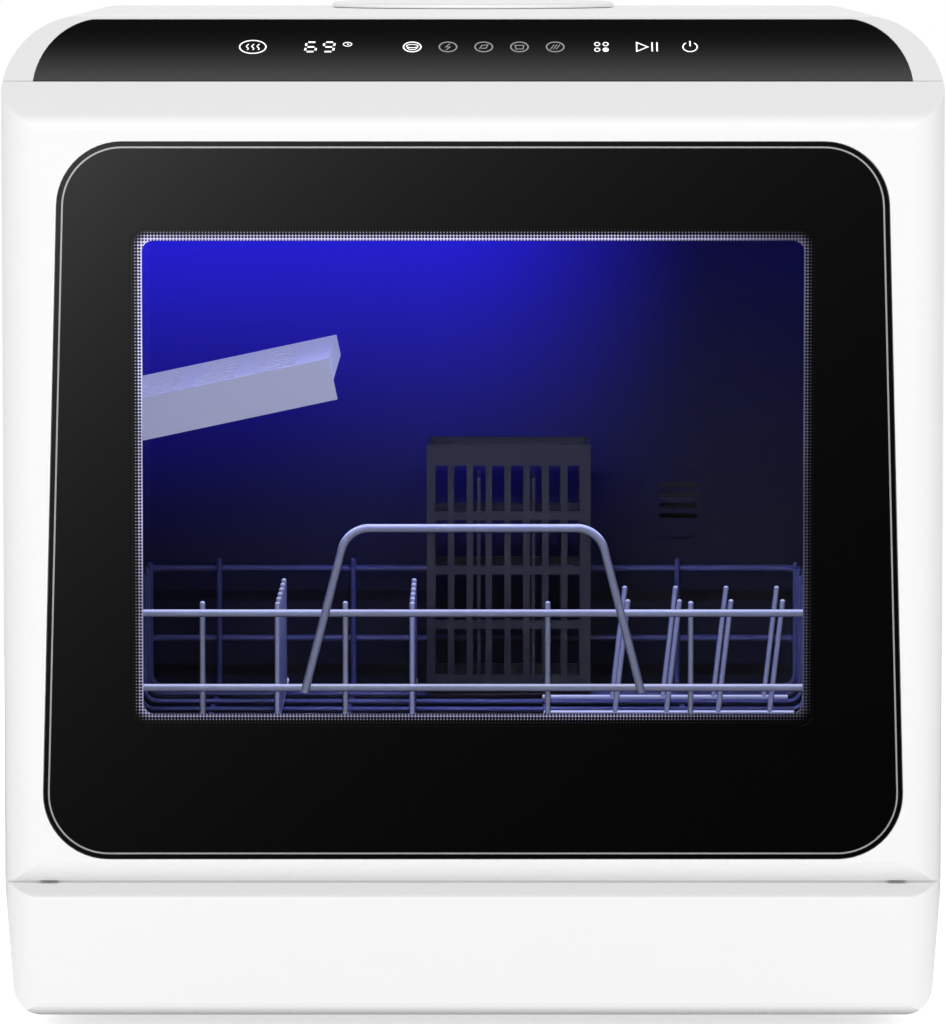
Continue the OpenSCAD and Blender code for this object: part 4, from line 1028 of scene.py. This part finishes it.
class PanelMarks:
    """The lit marks on the control panel: rings, digits and plain pictures."""

    SEGMENTS = {"a": ((0, 1), (1, 1)), "b": ((1, 1), (1, 0.5)), "c": ((1, 0.5), (1, 0)),
                "d": ((0, 0), (1, 0)), "e": ((0, 0.5), (0, 0)), "f": ((0, 1), (0, 0.5)),
                "g": ((0, 0.5), (1, 0.5))}
    PROGRAMME_RING = (3.9, 3.3)
    PROGRAMMES = (
        (((-2.5, -0.4), (-1.2, -1.8), (1.2, -1.8), (2.5, -0.4)),),
        (((0.9, 2.2), (-1, 0), (0.9, 0), (-0.9, -2.2)),),
        (((-2, -1.3), (-0.8, 1.1), (1.9, 1.4), (1, -0.9), (-1.3, -0.9)),),
        (((-1.9, 1.1), (-1.6, -1.4), (1.6, -1.4), (1.9, 1.1)), ((-2.3, 1.1), (2.3, 1.1))),
        tuple(((shift - 0.9, -1.6), (shift + 0.9, 1.6)) for shift in (-1.3, 0, 1.3)))

    def __init__(self, sizes: PanelSizes) -> None:
        """Keeps the sizes and starts the two sets of marks.

        Args:
            sizes: The panel's sizes.
        """
        self.sizes = sizes
        self.bright = Marks("panel_bright_marks", self.on_slope, sizes.ink)
        self.dim = Marks("panel_dim_marks", self.on_slope, sizes.ink)

    def on_slope(self, across: float, up: float, out: float) -> Vector:
        """Places a point of a flat drawing on the sloping panel.

        Args:
            across: Millimetres to the right of the middle.
            up: Millimetres up the slope.
            out: Millimetres out of the slope.

        Returns:
            The point in metres.
        """
        s = self.sizes
        cos, sin = math.cos(s.slope), math.sin(s.slope)
        return Vector((across, FRONT_Y + up * cos - out * sin,
                       s.foot_z + up * sin + out * cos)) * MM

    def digit(self, left: float, segments: str) -> None:
        """Draws a digit of seven segments.

        Args:
            left: Its left side.
            segments: The letters of the segments that are lit.
        """
        s = self.sizes
        for name in segments:
            ends = [Vector((left + x * s.digit_w + z * s.digit_lean, s.digit_low + z * s.digit_h))
                    for x, z in self.SEGMENTS[name]]
            short = (ends[1] - ends[0]).normalized() * s.digit_gap
            self.bright.stroke([tuple(ends[0] + short), tuple(ends[1] - short)], s.digit_line)

    def ring(self, marks: Marks, x: float, half_w: float, half_h: float) -> None:
        """Draws an oval ring in the row.

        Args:
            marks: The set that it goes into.
            x: Where its middle is.
            half_w: Half its width.
            half_h: Half its height.
        """
        marks.stroke(oval((x, self.sizes.row), half_w, half_h), self.sizes.line, closed=True)

    def dry(self, x: float) -> None:
        """Draws the drying mark: three waves of warm air in a ring.

        Args:
            x: Where its middle is.
        """
        self.ring(self.bright, x, 5.9, 4.4)
        for shift in (-2.4, 0, 2.4):
            wave = [(x + shift + 0.45 * math.sin(k * math.pi / 4), self.sizes.row - 2 + k * 0.4)
                    for k in range(11)]
            self.bright.stroke(wave, 0.5)

    def programmes(self) -> None:
        """Draws the five programme marks, the first of them lit."""
        s = self.sizes
        for i, lines in enumerate(self.PROGRAMMES):
            x = s.first_programme + i * s.programme_pitch
            marks = self.dim if i else self.bright
            self.ring(marks, x, *self.PROGRAMME_RING)
            if not i:
                marks.stroke(oval((x, s.row + 0.6), 2.6, 1.1), s.fine, closed=True)
            width = s.fine if i < len(self.PROGRAMMES) - 1 else 0.4
            for line in lines:
                marks.stroke([(x + across, s.row + up) for across, up in line], width)

    def clock(self) -> None:
        """Draws the small clock after the digits."""
        s = self.sizes
        x, up = s.clock_x, s.clock_up
        self.bright.stroke(oval((x, up), 1.9, 1.3, 20), s.fine, closed=True)
        self.bright.stroke([(x, up + 0.7), (x, up - 0.1), (x + 0.8, up - 0.1)], 0.35)

    def keys(self) -> None:
        """Draws the mode, start and power marks."""
        s = self.sizes
        row = s.row
        for x in s.mode_xs:
            for up in (row - s.mode_off, row + s.mode_off):
                self.bright.stroke(oval((x, up), s.mode_r, s.mode_r, 16), 0.5, closed=True)
        self.bright.blob(oval((s.mode_xs[1], row - s.mode_off), 1.2, 1.2, 16))
        self.bright.stroke([(s.start_x, row - s.start_h), (s.start_x, row + s.start_h),
                            (s.start_x + s.start_w, row)], s.bold, closed=True)
        for x in s.pause_xs:
            self.bright.stroke([(x, row - 3.1), (x, row + 3.1)], 0.65)
        turns = [math.radians(a) for a in range(35, 326, 10)]
        self.bright.stroke([(s.power_x + s.power_r * math.sin(a), row + s.power_r * math.cos(a))
                            for a in turns], s.bold)
        self.bright.stroke([(s.power_x, row + 0.4), (s.power_x, row + 4)], s.bold)

    def build(self) -> list[bpy.types.Object]:
        """Draws all marks and sets them on the body.

        Returns:
            The pieces.
        """
        s = self.sizes
        self.dry(s.dry_x)
        for left, segments in zip(s.digit_lefts, ("acdefg", "abcdfg")):
            self.digit(left, segments)
        self.clock()
        self.programmes()
        self.keys()
        pieces = []
        for marks, finish in ((self.bright, BRIGHT_MARK), (self.dim, DIM_MARK)):
            thing = marks.thing()
            finish.dress(thing)
            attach(thing, "root")
            pieces.append(thing)
        return pieces


# ---- The studio ----


@dataclass(frozen=True)
class CameraSizes:
    """The photograph's viewpoint."""

    distance: float = 3.5
    height: float = 0.501
    pitch: float = 4.643
    pixels: float = 7400
    long_side: float = 1024
    sensor: float = 36


@dataclass(frozen=True)
class AreaLamp:
    """A soft rectangular lamp, in metres and watts."""

    name: str
    size: Point
    watts: float
    colour: Colour = grey(1)
    mirrored: bool = True

    def hang(self, spot: Sequence[float], turn: Sequence[float]) -> None:
        """Hangs the lamp.

        Args:
            spot: Where it hangs.
            turn: How it is turned from straight down, in radians.
        """
        data = bpy.data.lights.new(self.name, "AREA")
        data.shape = "RECTANGLE"
        data.size, data.size_y = self.size
        data.energy = self.watts
        data.color = self.colour
        lamp = bpy.data.objects.new(self.name, data)
        lamp.location = spot
        lamp.rotation_euler = turn
        lamp.visible_glossy = self.mirrored
        bpy.context.scene.collection.objects.link(lamp)

    def aim(self, spot: Point3, at: Point3) -> None:
        """Hangs the lamp so that it points at something.

        Args:
            spot: Where it hangs.
            at: What it points at.
        """
        self.hang(spot, (Vector(at) - Vector(spot)).to_track_quat("-Z", "Y").to_euler())


class Studio:
    """The camera, the lamps and the pale floor."""

    LAMPS = (
        (AreaLamp("key_lamp", (2.4, 1.6), 50), (-1.1, -3.4, 1.5), (0, -0.2, 0.24)),
        (AreaLamp("right_lamp", (1.4, 1.4), 14), (2.2, -2.2, 1.2), (0, 0, 0.24)),
        (AreaLamp("top_lamp", (1.8, 1.8), 12, mirrored=False), (0, 0.2, 2.4), (0, 0, 0.4)))
    SKY_LEVEL = 0.62
    MIRRORED_FRONT = 0.06
    MIRRORED_RISE = 0.8
    FLOOR_RADIUS = 1.5
    FLOOR_GLOW = 0.7

    def __init__(self, sizes: CameraSizes) -> None:
        """Keeps the viewpoint.

        Args:
            sizes: The camera's numbers.
        """
        self.sizes = sizes

    def camera(self) -> bpy.types.Object:
        """Makes the camera.

        Returns:
            The camera.
        """
        s = self.sizes
        data = bpy.data.cameras.new("camera")
        data.sensor_width = s.sensor
        data.lens = s.pixels / s.long_side * data.sensor_width
        data.clip_start, data.clip_end = 0.1, 50
        camera = bpy.data.objects.new("camera", data)
        camera.location = (0, -s.distance, s.height)
        camera.rotation_euler = (math.radians(90 - s.pitch), 0, 0)
        bpy.context.scene.collection.objects.link(camera)
        bpy.context.scene.camera = camera
        return camera

    def world(self) -> None:
        """Makes the surroundings: white to the camera, soft to the surfaces, dark to mirror."""
        world = bpy.data.worlds.new("world")
        world.use_nodes = True
        bpy.context.scene.world = world
        sheet = Sheet(world.node_tree)
        sky = world.node_tree.nodes["Background"]
        ray = sheet.add("ShaderNodeLightPath")
        behind_from, behind_to = 0.15, 0.5
        _, way = sheet.parts("Generated")
        behind = sheet.ramp(way["Y"], behind_from, behind_to)
        drop = sheet.sums("MULTIPLY", ray.outputs["Is Glossy Ray"],
                          sheet.sums("MULTIPLY_ADD", behind, self.MIRRORED_RISE,
                                     self.MIRRORED_FRONT - self.SKY_LEVEL))
        level = sheet.sums("ADD", drop, self.SKY_LEVEL)
        level = sheet.sums("MAXIMUM", level, ray.outputs["Is Camera Ray"])
        sky.inputs["Color"].default_value = solid(grey(1))
        sheet.plug(level, sky.inputs["Strength"])

    def floor(self) -> bpy.types.Object:
        """Makes the pale floor that the dishwasher stands on.

        Returns:
            The floor.
        """
        mesh = bpy.data.meshes.new("floor")
        bm = bmesh.new()
        bmesh.ops.create_circle(bm, cap_ends=True, segments=96,
                                radius=self.FLOOR_RADIUS)
        bm.to_mesh(mesh)
        bm.free()
        floor = bpy.data.objects.new("floor", mesh)
        bpy.context.scene.collection.objects.link(floor)
        made = bpy.data.materials.new("floor_finish")
        made.use_nodes = True
        sheet = Sheet(made.node_tree)
        shader = made.node_tree.nodes["Principled BSDF"]
        shader.inputs["Roughness"].default_value = 0.8
        shader.inputs["Specular IOR Level"].default_value = 0.1
        shader.inputs["Emission Color"].default_value = solid(grey(1))
        ray = sheet.add("ShaderNodeLightPath")
        seen, mirrored = solid(grey(0.9)), solid(grey(0.02))
        sheet.plug(sheet.mix(ray.outputs["Is Glossy Ray"], seen, mirrored),
                   shader.inputs["Base Color"])
        sheet.plug(sheet.sums("MULTIPLY", ray.outputs["Is Camera Ray"], self.FLOOR_GLOW),
                   shader.inputs["Emission Strength"])
        mesh.materials.append(made)
        return floor

    def build(self) -> None:
        """Sets up the studio."""
        self.camera()
        self.world()
        for lamp, spot, at in self.LAMPS:
            lamp.aim(spot, at)
        self.floor()


class InsideLight:
    """The light inside the tub: the blue lamp above the rack and what the walls throw back."""

    BLUE = AreaLamp("inside_lamp", (0.13, 0.012), 0.9, (0.16, 0.2, 1), mirrored=False)
    FILL = AreaLamp("inside_fill", (0.26, 0.01), 0.9, (0.66, 0.7, 1), mirrored=False)
    DROP = 0.002
    FILL_AHEAD = 0.008
    FILL_LEAN = -8

    def build(self) -> None:
        """Hangs the blue light under the lamp and a weaker pale one in front of it."""
        low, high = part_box("interior_lamp")
        below = Vector(((low.x + high.x) / 2, (low.y + high.y) / 2, low.z - self.DROP))
        self.BLUE.hang(below, (0, 0, 0))
        self.FILL.hang(below - Vector((0, self.FILL_AHEAD, 0)),
                       (math.radians(self.FILL_LEAN), 0, 0))


def dress_nodes() -> None:
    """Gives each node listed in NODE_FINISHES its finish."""
    for finish, names in NODE_FINISHES.items():
        for name in names:
            finish.dress(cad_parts[name])
            log.info("%s: %s", name, finish.name)


def main() -> None:
    """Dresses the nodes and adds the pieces."""
    logging.basicConfig(level=logging.INFO, format="%(message)s")
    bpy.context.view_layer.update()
    Studio(CameraSizes()).build()
    dress_nodes()
    for builder in (DoorGlass(DoorGlassSizes()), PanelMarks(PanelSizes())):
        for piece in builder.build():
            log.info("%s: %d vertices", piece.name, len(piece.data.vertices))
    InsideLight().build()
    bpy.context.scene.view_settings.view_transform = "Standard"


if __name__ == "__main__":
    main()
